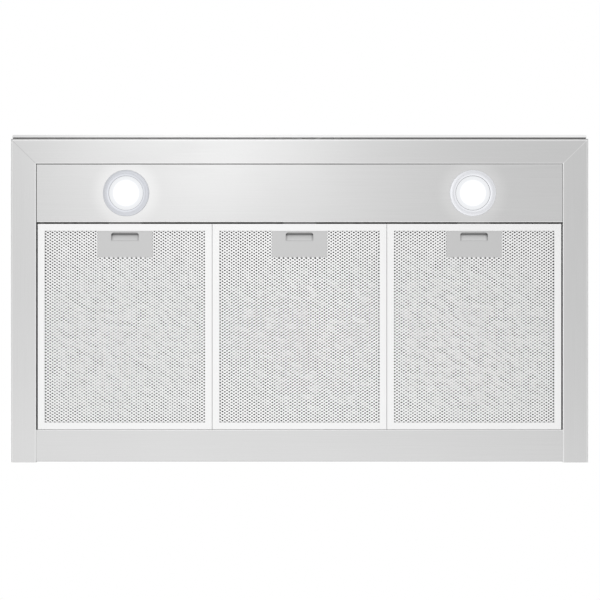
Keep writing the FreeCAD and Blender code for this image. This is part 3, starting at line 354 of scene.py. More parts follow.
def near_ring(wire, centre, radius, width):
    """1 inside a circle, and 0 beyond a width outside it."""
    away = wire.make("ShaderNodeVectorMath", {"operation": "DISTANCE"},
                     {0: on_piece(wire), 1: centre}, out="Value")
    return falling(wire, away, radius, radius + width)


def marked(tone, factor, mask):
    """A tone, times a factor where a mask is 1."""
    return tone * (1 + (factor - 1) * mask)


print("an edge's mask fades over", SOFT, "of its width")

# %% Brushed sheet
STEEL_TONE = 0.60
STEEL_ROUGHNESS = 0.34
GRAIN_ACROSS = 1500.0
GRAIN_ALONG = 9.0
GRAIN_TONE = 0.12
GRAIN_ROUGHNESS = 0.12
GRAIN_DEPTH = 0.004 * MM
STREAK_ACROSS = 420.0
STREAK_ALONG = 4.0
SHEET_STREAKS = 0.09
HANDLING = 7.0
HANDLING_ROUGHNESS = 0.06


def ground_scale(across, along, axis):
    """A noise scale that is long along axis 0, 1 or 2."""
    scale = [across] * 3
    scale[axis] = along
    return scale


def brushed_sheet(name, axis, tone=STEEL_TONE, streak=SHEET_STREAKS, edges=(), rings=()):
    """Stainless sheet with scratches along an axis, faint streaks, and marked edges and rings.

    An edge or a ring is a factor for the tone, under 1 for painted shade and over 1 for painted
    light, then what its mask needs.
    """
    finish, wire = new_finish(name, {"Metallic": 1.0})
    scratches = noise(wire, ground_scale(GRAIN_ACROSS, GRAIN_ALONG, axis), FINE_DETAIL) - 0.5
    streaks = noise(wire, ground_scale(STREAK_ACROSS, STREAK_ALONG, axis)) - 0.5
    handling = noise(wire, (HANDLING, HANDLING, HANDLING)) - 0.5
    ground = tone * (1 + GRAIN_TONE * scratches) * (1 + streak * streaks)
    for factor, *ring in rings:
        ground = marked(ground, factor, near_ring(wire, *ring))
    for factor, *edge in edges:
        ground = marked(ground, factor, near_edge(wire, *edge))
    rough = STEEL_ROUGHNESS + GRAIN_ROUGHNESS * scratches + HANDLING_ROUGHNESS * handling
    plug(finish, {"Base Color": shade(wire, ground), "Roughness": rough,
                  "Normal": bumped(wire, scratches, GRAIN_DEPTH)})
    return finish


steel_x = brushed_sheet("steel_grain_x", 0)
steel_z = brushed_sheet("steel_grain_z", 2)
print("steel finishes:", steel_x.name, steel_z.name)

# %% [markdown]
# ## Edges of the rim
# Painted shade darkens the joints and gaps between sheets, painted highlights run along the edges,
# and a painted glow of each lamp lies on the sheet round it. Loops cut into the mesh could carry
# these, but the CAD sheets stay as they are, so each rim sheet has its own finish that knows where
# its edges lie.

# %% Where the edges lie
X_AXIS = Vector((1, 0, 0))
Y_AXIS = Vector((0, 1, 0))
Z_AXIS = Vector((0, 0, 1))
MITRE = 0.7 * MM
SHADED = 0.85
LIT = 1.15


def mitre(factor, across, corner):
    """A mitre through a corner of the rim, with the way across it."""
    return (factor, across, across.dot(corner), MITRE)


light_low, light_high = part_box("light_panel")
front_low, front_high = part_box("front_flange")
left_low, left_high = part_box("left_flange")
right_low, right_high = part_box("right_flange")
bezel_low, bezel_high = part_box("lamp_bezels")
run = Vector((left_high.x - left_low.x, light_low.y - front_low.y, 0)).normalized()
left_mitre = mitre(SHADED, Vector((run.y, -run.x, 0)), Vector((left_high.x, light_low.y, 0)))
right_mitre = mitre(LIT, Vector((-run.y, -run.x, 0)), Vector((right_low.x, light_low.y, 0)))
bezel_radius = (bezel_high.y - bezel_low.y) / 2
lamp_middles = [Vector((x, bezel_low.y + bezel_radius, light_low.z))
                for x in (bezel_low.x + bezel_radius, bezel_high.x - bezel_radius)]
print("lamp middles at x", [round(middle.x, 4) for middle in lamp_middles])

# %% Rim sheets with painted shade and highlights at their edges
RIM_STREAKS = 0.03
FASCIA_TONE = 1.08 * STEEL_TONE
# Factors below 1 are painted shade in joints and gaps; factors above 1 are painted highlights
GAP_SHADE, JOINT_SHADE, PALE_GAP_SHADE = 0.12, 0.45, 0.45
# along edges and a painted glow round the lamps.
FAINT_HIGHLIGHT, SOFT_HIGHLIGHT, MID_HIGHLIGHT, STRONG_HIGHLIGHT, FULL_HIGHLIGHT = 1.10, 1.16, 1.28, 1.4, 1.5
# The widths below are those of the painted shade and highlight bands.
HIGHLIGHT_BAND = 2.4 * MM
SEAM = 1.0 * MM
HEM = 1.5 * MM
FOLD = 1.2 * MM
LIP = 1.6 * MM
HIGHLIGHT_LINE = 0.8 * MM
HALO = 24 * MM
CRISP = 0.03
UPSTAND = light_high.z - light_low.z - 0.9 * MM
SEAM_FADE = (X_AXIS, 50 * MM, 420 * MM)
HEM_FADE = (-X_AXIS, -400 * MM, 50 * MM)


def rim_finish(node, axis, edges, rings=(), tone=STEEL_TONE):
    return brushed_sheet(node + "_steel", axis, tone, RIM_STREAKS, edges, rings)


def skin_finish(node):
    """A canopy side skin, with a painted highlight along its lower edge."""
    return brushed_sheet(node + "_steel", 1, edges=[(FULL_HIGHLIGHT, Z_AXIS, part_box(node)[0].z, HIGHLIGHT_BAND)])


rim_finishes = {
    "light_panel": rim_finish("light_panel", 0, [
        # Painted highlight along the front edge, painted shade in the front joint fading to the
        # right
        (FAINT_HIGHLIGHT, Y_AXIS, light_low.y, HIGHLIGHT_BAND),
        (JOINT_SHADE / FAINT_HIGHLIGHT, Y_AXIS, light_low.y, HEM, SOFT, SEAM_FADE),
        # Painted highlight along the rear edge
        (MID_HIGHLIGHT, Y_AXIS, light_high.y, HEM),
        # Painted shade in the side seams and on the rear wall inside the gap
        (GAP_SHADE, X_AXIS, light_low.x, SEAM), (PALE_GAP_SHADE, X_AXIS, light_high.x, SEAM),
        (GAP_SHADE, Z_AXIS, light_high.z, UPSTAND, CRISP)],
        # A painted glow of each lamp on the panel round its ring
        [(FAINT_HIGHLIGHT, middle, bezel_radius, HALO) for middle in lamp_middles]),
    "front_flange": rim_finish("front_flange", 0, [
        # Painted highlights along the front fold and the rear edge
        (MID_HIGHLIGHT, Y_AXIS, front_low.y, HIGHLIGHT_BAND), (MID_HIGHLIGHT, Y_AXIS, front_low.y, FOLD),
        (FAINT_HIGHLIGHT, Y_AXIS, front_high.y, HIGHLIGHT_BAND), left_mitre, right_mitre]),
    "left_flange": rim_finish("left_flange", 1, [
        # Painted highlights along the inner and the outer edge
        (SOFT_HIGHLIGHT, X_AXIS, left_high.x, HIGHLIGHT_BAND), (FULL_HIGHLIGHT, X_AXIS, left_low.x, LIP), left_mitre]),
    "right_flange": rim_finish("right_flange", 1, [
        # Painted highlights along the inner edge, on the wall in the gap and along the outer edge
        (SOFT_HIGHLIGHT, X_AXIS, right_low.x, HIGHLIGHT_BAND), (STRONG_HIGHLIGHT, X_AXIS, right_low.x, HIGHLIGHT_LINE),
        (FULL_HIGHLIGHT, X_AXIS, right_high.x, LIP), right_mitre]),
    # A painted highlight along the rear bar's front fold
    "rear_bar": rim_finish("rear_bar", 0, [(FULL_HIGHLIGHT, Y_AXIS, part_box("rear_bar")[0].y, FOLD)]),
    "canopy_left_panel": skin_finish("canopy_left_panel"),
    "canopy_right_panel": skin_finish("canopy_right_panel"),
    "front_fascia": rim_finish("front_fascia", 0, [
        # A painted highlight along the hem, strongest towards the right
        (STRONG_HIGHLIGHT, Z_AXIS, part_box("front_fascia")[0].z, HEM, SOFT, HEM_FADE)], tone=FASCIA_TONE),
}
print("rim finishes:", list(rim_finishes))

# %% [markdown]
# ## Zinc, aluminium and plastic
# Zinc-coated sheet has crystals a few millimetres wide, each at its own angle, which a Voronoi
# cell colour copies. Satin aluminium and moulded plastic have only a fine grain, so one function
# makes both from a soft noise.

# %% Zinc-coated sheet
ZINC_TONE = 0.60
ZINC_ROUGHNESS = 0.34
SPANGLE = 130.0
SPANGLE_DARK = 0.84
SPANGLE_TONE = 0.28
SPANGLE_ROUGHNESS = 0.16


def zinc_sheet():
    finish, wire = new_finish("zinc_sheet", {"Metallic": 1.0})
    crystal = wire.make("ShaderNodeTexVoronoi", {}, {"Vector": on_piece(wire), "Scale": SPANGLE},
                        out="Color")
    facet = wire.make("ShaderNodeRGBToBW", {}, {0: crystal})
    plug(finish, {"Base Color": shade(wire, ZINC_TONE * (SPANGLE_DARK + SPANGLE_TONE * facet)),
                  "Roughness": ZINC_ROUGHNESS + SPANGLE_ROUGHNESS * facet})
    return finish


zinc = zinc_sheet()
print(zinc.name, "with crystals", round(1 / SPANGLE / MM, 1), "mm wide")

# %% Satin metals and plastics
SATIN_GRAIN = 900.0
FOIL_GRAIN = 1600.0
SATIN_DEPTH = 0.01 * MM
SATIN_SPREAD = 0.04
BROAD = 40
FINE_ROUGHNESS = 0.12
BROAD_ROUGHNESS = 0.08


def grained(name, low, high, roughness, metallic, grain, depth):
    """A colour between two colours, with a soft grain in tone, gloss and height."""
    finish, wire = new_finish(name, {"Metallic": metallic})
    fine = fine_grain(wire, grain)
    broad = noise(wire, (grain / BROAD, grain / BROAD, grain / BROAD))
    rough = roughness + FINE_ROUGHNESS * (fine - 0.5) + BROAD_ROUGHNESS * (broad - 0.5)
    plug(finish, {"Base Color": between(wire, 0.5 * fine + 0.5 * broad, low, high),
                  "Roughness": rough, "Normal": bumped(wire, fine, depth)})
    return finish


def satin_metal(name, tone, roughness, depth=SATIN_DEPTH):
    dark, light = grey(tone * (1 - SATIN_SPREAD)), grey(tone * (1 + SATIN_SPREAD))
    return grained(name, dark, light, roughness, 1.0, SATIN_GRAIN, depth)


def moulded(name, low, high, roughness, grain, depth):
    """Plastic, paint or a board, without metal's shine."""
    return grained(name, low, high, roughness, 0.0, grain, depth)


finishes = {
    "galvanised_steel": zinc,
    "filter_frame": grained("filter_frame_satin", grey(0.85), grey(0.91), 0.5, 0.8,
                            SATIN_GRAIN, SATIN_DEPTH),
    "filter_mesh": grained("filter_mesh_bright", grey(0.80), grey(1.0), 0.42, 0.9,
                           FOIL_GRAIN, SATIN_DEPTH),
    "spring_steel": satin_metal("blued_spring_steel", 0.10, 0.35),
    "lamp_housing": satin_metal("lamp_housing_cast", 0.42, 0.55, 0.05 * MM),
    "button": satin_metal("button_satin", 0.60, 0.35),
    "bright_steel": satin_metal("bright_steel", 0.70, 0.22),
    "impeller_metal": satin_metal("impeller_rolled", 0.62, 0.4),
    "damper_metal": satin_metal("damper_rolled", 0.62, 0.42),
    "black_plastic": moulded("black_plastic", grey(0.03), grey(0.05), 0.5, 1400.0, 0.02 * MM),
    "circuit_board": moulded("circuit_board", (0.02, 0.13, 0.05, 1), (0.03, 0.19, 0.07, 1), 0.4,
                             300.0, 0.02 * MM),
    "motor_paint": moulded("motor_paint", grey(0.10), grey(0.14), 0.4, 500.0, 0.03 * MM),
}
print(len(finishes), "finishes:", list(finishes))

# %% [markdown]
# ## Dark filter cores
# Behind its face mesh each filter holds folded foil, given a dark tone as painted shade inside the
# filter. Between the strands it shows dark slanting patches, and painted shade along the frame,
# under its lip. Spots could be painted by hand, but a noise stretched along a slant gives patches
# that differ from filter to filter, and one level says how much of each filter is dark.

# %% Foil in painted shade, with dark patches
SIDES = ("left", "middle", "right")
PATCH_LEVEL = {"left": 0.46, "middle": 0.57, "right": 0.48}
PATCH_SOFT = {"left": 0.12, "middle": 0.07, "right": 0.10}
PATCH_RUN = 17.0 * MM
PATCH_WIDTH = 8.5 * MM
PATCH_SLANT = math.radians(34)
FRAME_SHADE_REACH = 22.0 * MM
RIM_SOFT = 0.5
SHADED_FOIL_TONE = 0.50
FOIL_DARK = 0.8
FOIL_SPREAD = 0.4
DARK_ROUGHNESS = 0.56
UNDARKENED_GLOSS = 0.12


def patch_noise(wire):
    """Noise in long patches that lie at a slant."""
    slanted = wire.make("ShaderNodeMapping", {"vector_type": "TEXTURE"},
                        {"Vector": on_piece(wire), "Rotation": (0, 0, PATCH_SLANT),
                         "Scale": (PATCH_RUN, PATCH_WIDTH, PATCH_RUN)})
    return wire.make("ShaderNodeTexNoise", {}, {"Vector": slanted, "Scale": 1.0, "Detail": 1.0})


def core_finish(side):
    """Foil in painted shade, darkest in patches and, as painted shade under the frame, along its
    edges.
    """
    low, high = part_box("filter_core_" + side)
    level, soft = PATCH_LEVEL[side], PATCH_SOFT[side]
    finish, wire = new_finish("filter_core_" + side, {"Metallic": 1.0})
    fine = fine_grain(wire, FOIL_GRAIN)
    undarkened = 1 - falling(wire, patch_noise(wire), level - soft, level + soft, "LINEAR")
    # Painted shade along the frame's four edges
    for across, edge in ((X_AXIS, low.x), (X_AXIS, high.x), (Y_AXIS, low.y), (Y_AXIS, high.y)):
        undarkened = undarkened * (1 - near_edge(wire, across, edge, FRAME_SHADE_REACH, RIM_SOFT))
    share = undarkened * (FOIL_DARK + FOIL_SPREAD * fine)
    plug(finish, {"Base Color": between(wire, share, grey(0.0), grey(SHADED_FOIL_TONE)),
                  "Roughness": DARK_ROUGHNESS - UNDARKENED_GLOSS * undarkened,
                  "Normal": bumped(wire, fine, SATIN_DEPTH)})
    return finish


core_finishes = {"filter_core_" + side: core_finish(side) for side in SIDES}
print("core finishes:", list(core_finishes))

# %% [markdown]
# ## The lamps' light
# A frosted lens over a ring of diodes is brightest in the middle and falls off towards its rim. A
# spot of light could stand behind clear glass, but a lens that glows by itself gives the same white
# disc without noise. The turned ring round it has painted shade in the groove at the lens, a
# painted glow of the lens on its slope and a painted highlight on its outer edge. The left ring is
# a darker copy of the right one, as painted shade.

# %% Glowing lens
LENS_GLOW = 1.5
LENS_LIGHT = (0.945, 0.965, 1.0, 1)
LENS_TONE = 0.30
LENS_ROUGHNESS = 0.35
LENS_BRIGHT = 0.42
LENS_RIM = 0.80
LENS_RIM_LEVEL = 0.4
FROST = 700.0
FROST_TONE = 0.08
FROST_DEPTH = 0.02 * MM
lamp_low, lamp_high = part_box("lamp_lenses")
lens_radius = (lamp_high.y - lamp_low.y) / 2
lamp_y = (lamp_high.y + lamp_low.y) / 2
lamp_xs = (lamp_low.x + lens_radius, lamp_high.x - lens_radius)


def from_middle(wire):
    """A point's distance from its lamp's middle, in lens radii."""
    rings = wire.make("ShaderNodeUVMap", {"uv_map": "from_middle"})
    return wire.make("ShaderNodeSeparateXYZ", {}, {0: rings})


def glowing_lens():
    finish, wire = new_finish("lens_frosted", {
        "Base Color": grey(LENS_TONE), "Roughness": LENS_ROUGHNESS, "Emission Strength": LENS_GLOW})
    frost = noise(wire, (FROST, FROST, FROST))
    fall = falling(wire, from_middle(wire), LENS_BRIGHT, LENS_RIM)
    level = (LENS_RIM_LEVEL + (1 - LENS_RIM_LEVEL) * fall) * (1 + FROST_TONE * (frost - 0.5))
    plug(finish, {"Emission Color": between(wire, level, grey(0.0), LENS_LIGHT),
                  "Normal": bumped(wire, frost, FROST_DEPTH)})
    return finish


finishes["lamp_lens"] = glowing_lens()
print("lenses at x", [round(x, 3) for x in lamp_xs], "radius", round(lens_radius, 4))

# %% Turned rings
RING_LIP = (0.965, 0.985)
RING_SLOPE = (1.0, 1.1)
RING_EDGE = (1.22, 1.27)
SLOPE_GLOW = 0.17
OUTER_HIGHLIGHT = 0.2
RING_GRAIN = 0.06
RING_ROUGHNESS = 0.36
RING_GRAIN_ROUGHNESS = 0.1


def turned_ring(name, tone, groove_shade, tint):
    """Satin metal with painted shade in the groove at the lens, a painted glow on the slope and a
    painted highlight on the outer edge.
    """
    finish, wire = new_finish(name, {"Metallic": 1.0})
    fine = fine_grain(wire, SATIN_GRAIN)
    reach = from_middle(wire)
    lip = falling(wire, reach, *RING_LIP, "LINEAR")
    slope = falling(wire, reach, *RING_SLOPE)
    edge = 1 - falling(wire, reach, *RING_EDGE, "LINEAR")
    level = (tone + RING_GRAIN * fine) * (1 + SLOPE_GLOW * slope) * (1 - groove_shade * lip)
    level = level * (1 + OUTER_HIGHLIGHT * edge)
    plug(finish, {"Base Color": between(wire, level, grey(0.0), tint),
                  "Roughness": RING_ROUGHNESS + RING_GRAIN_ROUGHNESS * fine,
                  "Normal": bumped(wire, fine, SATIN_DEPTH)})
    return finish


# The left ring is a darker copy of the right one: painted shade
shaded_ring = turned_ring("lamp_bezel_shaded", tone=0.605, groove_shade=0.42,
                        tint=(0.915, 0.935, 0.99, 1))
lit_ring = turned_ring("lamp_bezel_lit", tone=0.78, groove_shade=0.75,
                          tint=(0.93, 0.94, 0.975, 1))
finishes["lamp_bezel"] = shaded_ring
print("ring finishes:", shaded_ring.name, lit_ring.name)

# %% [markdown]
# ## Latch plates
# The finger pocket is pressed up into the plate. Its deep end and its corners get painted shade,
# and its ramp is lightened as painted light, so the finish reads how deep a point lies. Each plate
# has its own finish, because each pocket lies at its own place.

# %% Plates with painted shade in the pocket
PLATE_TONE = 0.56
PLATE_GRAIN = 0.03
PLATE_ROUGHNESS = 0.44
PLATE_FACE = 0.3 * MM
POCKET_WIDTH = 43.0 * MM
POCKET_END = 4.0 * MM
POCKET_DEEP = 2.0 * MM
PRESSED_SOFT, DEEP_SOFT, END_SOFT = 0.1, 0.5, 0.9
RAMP_LIGHT = 0.22
DEEP_END_SHADE = 0.6
CORNER_SHADE = 0.25


def latch_finish(side):
    low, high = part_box("filter_latch_" + side)
    middle = (low.x + high.x) / 2
    finish, wire = new_finish("latch_plate_" + side, {"Metallic": 1.0})
    fine = fine_grain(wire, SATIN_GRAIN)
    pressed = near_edge(wire, Z_AXIS, high.z, high.z - low.z - PLATE_FACE, PRESSED_SOFT)
    deep = near_edge(wire, Z_AXIS, high.z, POCKET_DEEP, DEEP_SOFT)
    ends = (near_edge(wire, X_AXIS, middle - POCKET_WIDTH / 2, POCKET_END, END_SOFT)
            + near_edge(wire, X_AXIS, middle + POCKET_WIDTH / 2, POCKET_END, END_SOFT))
    # Painted light on the ramp, painted shade in the deep end and at the pocket's ends
    tone = (PLATE_TONE + PLATE_GRAIN * fine) * (1 + RAMP_LIGHT * pressed)
    tone = tone * (1 - DEEP_END_SHADE * deep) * (1 - CORNER_SHADE * pressed * ends)
    plug(finish, {"Base Color": shade(wire, tone),
                  "Roughness": PLATE_ROUGHNESS + FINE_ROUGHNESS * fine,
                  "Normal": bumped(wire, fine, SATIN_DEPTH)})
    return finish


latch_finishes = {"filter_latch_" + side: latch_finish(side) for side in SIDES}
print("latch finishes:", list(latch_finishes))

# %% [markdown]
# ## Dressing the CAD nodes
# Each CAD node names a material slot in the record, and most nodes take the finish of their slot.
# Rim sheets, filter cores and latch plates have finishes of their own. Steel is the one finish with
# a direction: the hood's other sheets are brushed along the hood, and the chimney upwards.

# %% Give every node its finish
CHIMNEY = ("lower_chimney", "upper_chimney")
own_finishes = {**rim_finishes, **core_finishes, **latch_finishes}


def finish_for(node):
    if node in own_finishes:
        return own_finishes[node]
    if slot_of[node] == "brushed_steel":
        return steel_z if node in CHIMNEY else steel_x
    return finishes[slot_of[node]]


for node, thing in nodes.items():
    for place in thing.material_slots:
        place.material = finish_for(node)
print("dressed", len(nodes), "nodes")

# %% [markdown]
# ## Expanded mesh
# Expanded aluminium is a sheet slit and pulled open, so its strands are twisted and its openings
# are staggered diamonds. It could be a picture of a net, but then it casts no shadow. Here a square
# grid is turned 45 degrees and pulled out of square, every cell is inset to leave its strands, the
# cells are tilted to twist them, and the cells' middles are deleted. A last step gives them
# thickness.

# %% A net of diamonds
DIAMOND_X = 7.06 * MM
DIAMOND_Y = 4.73 * MM
WELD = 0.06 * DIAMOND_Y
SCRAP = 0.1 * DIAMOND_X * DIAMOND_Y


def drop_slivers(net):
    """Close up and delete the scraps that a cut leaves."""
    bmesh.ops.remove_doubles(net, verts=net.verts, dist=WELD)
    scraps = [face for face in net.faces if face.calc_area() < SCRAP]
    bmesh.ops.delete(net, geom=scraps, context="FACES")


def diamond_net(low, high, pitch_x, pitch_y):
    """A grid of diamonds that fills a rectangle."""
    cells = math.ceil((high.x - low.x) / pitch_x + (high.y - low.y) / pitch_y) + 1
    turn = Matrix.Rotation(math.radians(45), 3, "Z")
    pull = (pitch_x / math.sqrt(2), pitch_y / math.sqrt(2), 1)
    middle = ((low.x + high.x) / 2, (low.y + high.y) / 2, 0)
    net = bmesh.new()
    bmesh.ops.create_grid(net, x_segments=cells, y_segments=cells, size=cells / 2)
    bmesh.ops.rotate(net, verts=net.verts, matrix=turn)
    bmesh.ops.scale(net, verts=net.verts, vec=pull)
    bmesh.ops.translate(net, verts=net.verts, vec=middle)
    for corner, outward in ((low, -X_AXIS), (low, -Y_AXIS), (high, X_AXIS), (high, Y_AXIS)):
        bmesh.ops.bisect_plane(net, geom=net.verts[:] + net.edges[:] + net.faces[:],
                               plane_co=(corner.x, corner.y, 0), plane_no=outward, clear_outer=True)
    drop_slivers(net)
    return net


print("diamonds of", round(DIAMOND_X / MM, 2), "by", round(DIAMOND_Y / MM, 2), "mm")

# %% Strands of the net
STRAND = 1.78 * MM
TWIST = 0.12
MESH_SHEET = 0.35 * MM
NARROWEST = 0.55


def twist_strands(net, strand, twist):
    """Inset every diamond wide enough for an opening, tilt the opening and delete its middle."""
    openings = [face for face in net.faces
                if 2 * face.calc_area() / face.calc_perimeter() > NARROWEST * strand]
    bmesh.ops.inset_individual(net, faces=openings, thickness=strand / 2, use_even_offset=True)
    for opening in openings:
        middle = opening.calc_center_median().y
        for corner in opening.verts:
            corner.co.z += twist * (corner.co.y - middle)
    bmesh.ops.delete(net, geom=openings, context="FACES")


def thicken(net, z):
    """Give a net its thickness and set its middle at a height."""
    bmesh.ops.solidify(net, geom=net.faces[:], thickness=MESH_SHEET)
    bmesh.ops.recalc_face_normals(net, faces=net.faces[:])
    lowest = min(v.co.z for v in net.verts)
    highest = max(v.co.z for v in net.verts)
    bmesh.ops.translate(net, verts=net.verts, vec=(0, 0, z - (lowest + highest) / 2))


print("strands of", round(STRAND / MM, 2), "by", round(MESH_SHEET / MM, 2), "mm")

# %% [markdown]
# ## Three filters
# Each filter has a face mesh under the frame's lip, a crimped mesh behind it and a rear mesh. The
# crimped one follows the folded sheet of the CAD model. It could be one flat net, but the folds
# catch the light through the openings. A patch behind the latch plate stays clear for the finger
# pocket.

# %% Room for the pocket and folds
WELL_SIDE = 11.0 * MM
WELL_BACK = 0.4 * MM
FOLD_PITCH = 9.0 * MM


def clear_well(net, side):
    """Cut a rectangle out of a net behind the latch plate, for the pocket and its spring."""
    plate_low, plate_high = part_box("filter_latch_" + side)
    left, right = plate_low.x + WELL_SIDE, plate_high.x - WELL_SIDE
    back = plate_high.y - WELL_BACK

    def within(grow_x, grow_y):
        """The faces inside the rectangle, or inside it when it has grown."""
        middles = [(face, face.calc_center_median()) for face in net.faces]
        return [face for face, middle in middles
                if left - grow_x < middle.x < right + grow_x and middle.y < back + grow_y]

    for point, outward, grow in (((0, back, 0), Y_AXIS, (0, DIAMOND_Y)),
                                 ((left, 0, 0), X_AXIS, (DIAMOND_X, 0)),
                                 ((right, 0, 0), X_AXIS, (DIAMOND_X, 0))):
        near = within(*grow)
        edges = dict.fromkeys(edge for face in near for edge in face.edges)
        corners = dict.fromkeys(corner for face in near for corner in face.verts)
        bmesh.ops.bisect_plane(net, geom=near + list(edges) + list(corners),
                               plane_co=point, plane_no=outward)
    bmesh.ops.delete(net, geom=within(0, 0), context="FACES")
    drop_slivers(net)


def crimp(net, height):
    """Fold a net up and down along X."""
    for corner in net.verts:
        share = corner.co.x / FOLD_PITCH
        corner.co.z += height * (2 * abs(share - math.floor(share + 0.5)) - 0.5)


print("folds every", round(FOLD_PITCH / MM, 1), "mm")

# %% Mesh for each filter
MESH_INSET = 0.4 * MM
FOLD_ROOM = 1.4 * MM
INNER_STRETCH = 1.12
INNER_STRAND = 2 * STRAND
BACK_STRETCH = 1.5
BACK_TWIST = 0.6 * TWIST


def face_layer(side):
    low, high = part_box("filter_mesh_" + side)
    net = diamond_net(low, high, DIAMOND_X, DIAMOND_Y)
    clear_well(net, side)
    twist_strands(net, STRAND, TWIST)
    thicken(net, low.z + MESH_INSET)
    return net


def inner_layer(side):
    low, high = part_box("filter_core_" + side)
    net = diamond_net(low, high, INNER_STRETCH * DIAMOND_X, INNER_STRETCH * DIAMOND_Y)
    clear_well(net, side)
    twist_strands(net, INNER_STRAND, TWIST)
    crimp(net, high.z - low.z - FOLD_ROOM)
    thicken(net, (low.z + high.z) / 2)
    return net


def back_layer(side):
    low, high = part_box("filter_mesh_" + side)
    net = diamond_net(low, high, BACK_STRETCH * DIAMOND_X, BACK_STRETCH * DIAMOND_Y)
    twist_strands(net, BACK_STRETCH * STRAND, BACK_TWIST)
    thicken(net, high.z - MESH_INSET)
    return net


def filter_piece(layer, side, net, finish):
    piece = linked("filter_" + layer + "_mesh_" + side, net, finish)
    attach(piece, "filter_" + side)
    print(piece.name, len(piece.data.polygons), "faces")
    return piece


for side in SIDES:
    foil = core_finishes["filter_core_" + side]
    face = filter_piece("face", side, face_layer(side), finishes["filter_mesh"])
    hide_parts("filter_mesh_" + side)
    inner = filter_piece("inner", side, inner_layer(side), foil)
    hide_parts("filter_core_" + side)
    filter_piece("back", side, back_layer(side), finishes["filter_mesh"])

# %% [markdown]
# ## The lamps
# A turned ring holds each lens: a flat face with rounded edges that slopes in to the glass. Both
# are round, so a profile of a few points is spun about the lamp's axis. Each gets a map of how far
# its points are from the lamp's middle, which the lens's glow and the ring's polish read.

# %% Spun shapes
SAME_POINT = 0.001 * MM


def spun(profile, centre, axis, steps, closed=False):
    """A profile of radius and height pairs, spun about an axis through a point."""
    shape = bmesh.new()
    rows = [shape.verts.new(centre + X_AXIS * r + axis * h) for r, h in profile]
    pairs = list(zip(rows, rows[1:])) + ([(rows[-1], rows[0])] if closed else [])
    edges = [shape.edges.new(pair) for pair in pairs]
    bmesh.ops.spin(shape, geom=rows + edges, cent=centre, axis=axis, angle=2 * math.pi,
                   steps=steps, use_merge=True)
    bmesh.ops.remove_doubles(shape, verts=shape.verts, dist=SAME_POINT)
    bmesh.ops.recalc_face_normals(shape, faces=shape.faces)
    return shape


def smooth(piece, limit=30):
    """Shade a piece smooth, with sharp edges beyond a limit in degrees."""
    for face in piece.data.polygons:
        face.use_smooth = True
    piece.data.set_sharp_from_angle(angle=math.radians(limit))


def map_from_middle(shape, x):
    """A map of each corner's distance from a lamp's middle, in lens radii."""
    reach = shape.loops.layers.uv.new("from_middle")
    for face in shape.faces:
        for loop in face.loops:
            loop[reach].uv = ((loop.vert.co.xy - Vector((x, lamp_y))).length / lens_radius, 0)


print("a profile turns about its axis")

# %% Rings and lenses
LAMP_STEPS = 96
RING_SHOWN = 26.6 * MM
RING_HEIGHT = 2.5 * MM
NECK_GAP = 0.2 * MM
NECK_SHEET = 2.0 * MM
CROWN = 0.5 * MM
CROWN_START = 0.1 * MM


def ring_profile():
    low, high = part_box("lamp_bezels")
    panel = low.z + RING_HEIGHT
    neck = lens_radius + NECK_GAP
    seat = [(RING_SHOWN, lamp_low.z), (RING_SHOWN, low.z + 0.9 * MM)]
    slope = [(RING_SHOWN + 0.6 * MM, low.z + 0.5 * MM), (RING_SHOWN + 4.2 * MM, low.z + 0.3 * MM),
             (RING_SHOWN + 4.5 * MM, low.z)]
    rim = [(bezel_radius - 2.2 * MM, low.z), (bezel_radius - 0.7 * MM, low.z + 0.4 * MM),
           (bezel_radius, low.z + 1.4 * MM), (bezel_radius, panel)]
    tube = [(neck + NECK_SHEET, panel), (neck + NECK_SHEET, high.z), (neck, high.z),
            (neck, lamp_low.z)]
    return seat + slope + rim + tube


def lens_profile():
    return [(0, lamp_low.z), (0.5 * lens_radius, lamp_low.z),
            (0.85 * lens_radius, lamp_low.z + CROWN_START), (lens_radius, lamp_low.z + CROWN),
            (lens_radius, lamp_high.z), (0, lamp_high.z)]


def lamp_piece(name, profile, x, closed, finish):
    shape = spun(profile, Vector((x, lamp_y, 0)), Z_AXIS, LAMP_STEPS, closed)
    map_from_middle(shape, x)
    piece = linked(name, shape, finish)
    smooth(piece)
    print(name, len(piece.data.polygons), "faces")
    return piece


for side, x, finish in zip(("left", "right"), lamp_xs, (shaded_ring, lit_ring)):
    ring = lamp_piece("lamp_ring_" + side, ring_profile(), x, True, finish)
    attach(ring, "hood")
    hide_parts("lamp_bezels")
    glass = lamp_piece("lamp_glass_" + side, lens_profile(), x, False, finishes["lamp_lens"])
    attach(glass, "hood")
    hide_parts("lamp_lenses")

# %% [markdown]
# ## The push buttons
# Each button is a turned cap, hollowed a little so that a fingertip finds it, on a stem that runs
# back to the switch. The CAD cap is flat. A profile spun about the button's own axis gives the
# hollow, and keeps the cap's length and radius.

# %% Five dished caps
BUTTON_STEPS = 48
DISH = 0.5 * MM
CAP = 3.8 * MM
STEM = 3.0 * MM
CAP_CORNER = 35


def button_cap(name):
    low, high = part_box("button_" + name)
    radius = (high.x - low.x) / 2
    centre = Vector(((low.x + high.x) / 2, 0, (low.z + high.z) / 2))
    dish = [(0, low.y + DISH), (0.35 * radius, low.y + 0.85 * DISH),
            (0.65 * radius, low.y + 0.35 * DISH)]
    rim = [(radius - 1.0 * MM, low.y), (radius - 0.4 * MM, low.y + 0.1 * MM),
           (radius, low.y + 0.5 * MM), (radius, low.y + CAP)]
    stem = [(STEM, low.y + CAP), (STEM, high.y), (0, high.y)]
    cap = spun(dish + rim + stem, centre, Y_AXIS, BUTTON_STEPS)
    piece = linked("button_cap_" + name, cap, finishes["button"])
    smooth(piece, CAP_CORNER)
    return piece


for name in ("light", "stop", "low", "medium", "high"):
    cap = button_cap(name)
    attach(cap, "button_" + name)
    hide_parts("button_" + name)
    print(cap.name, len(cap.data.polygons), "faces")

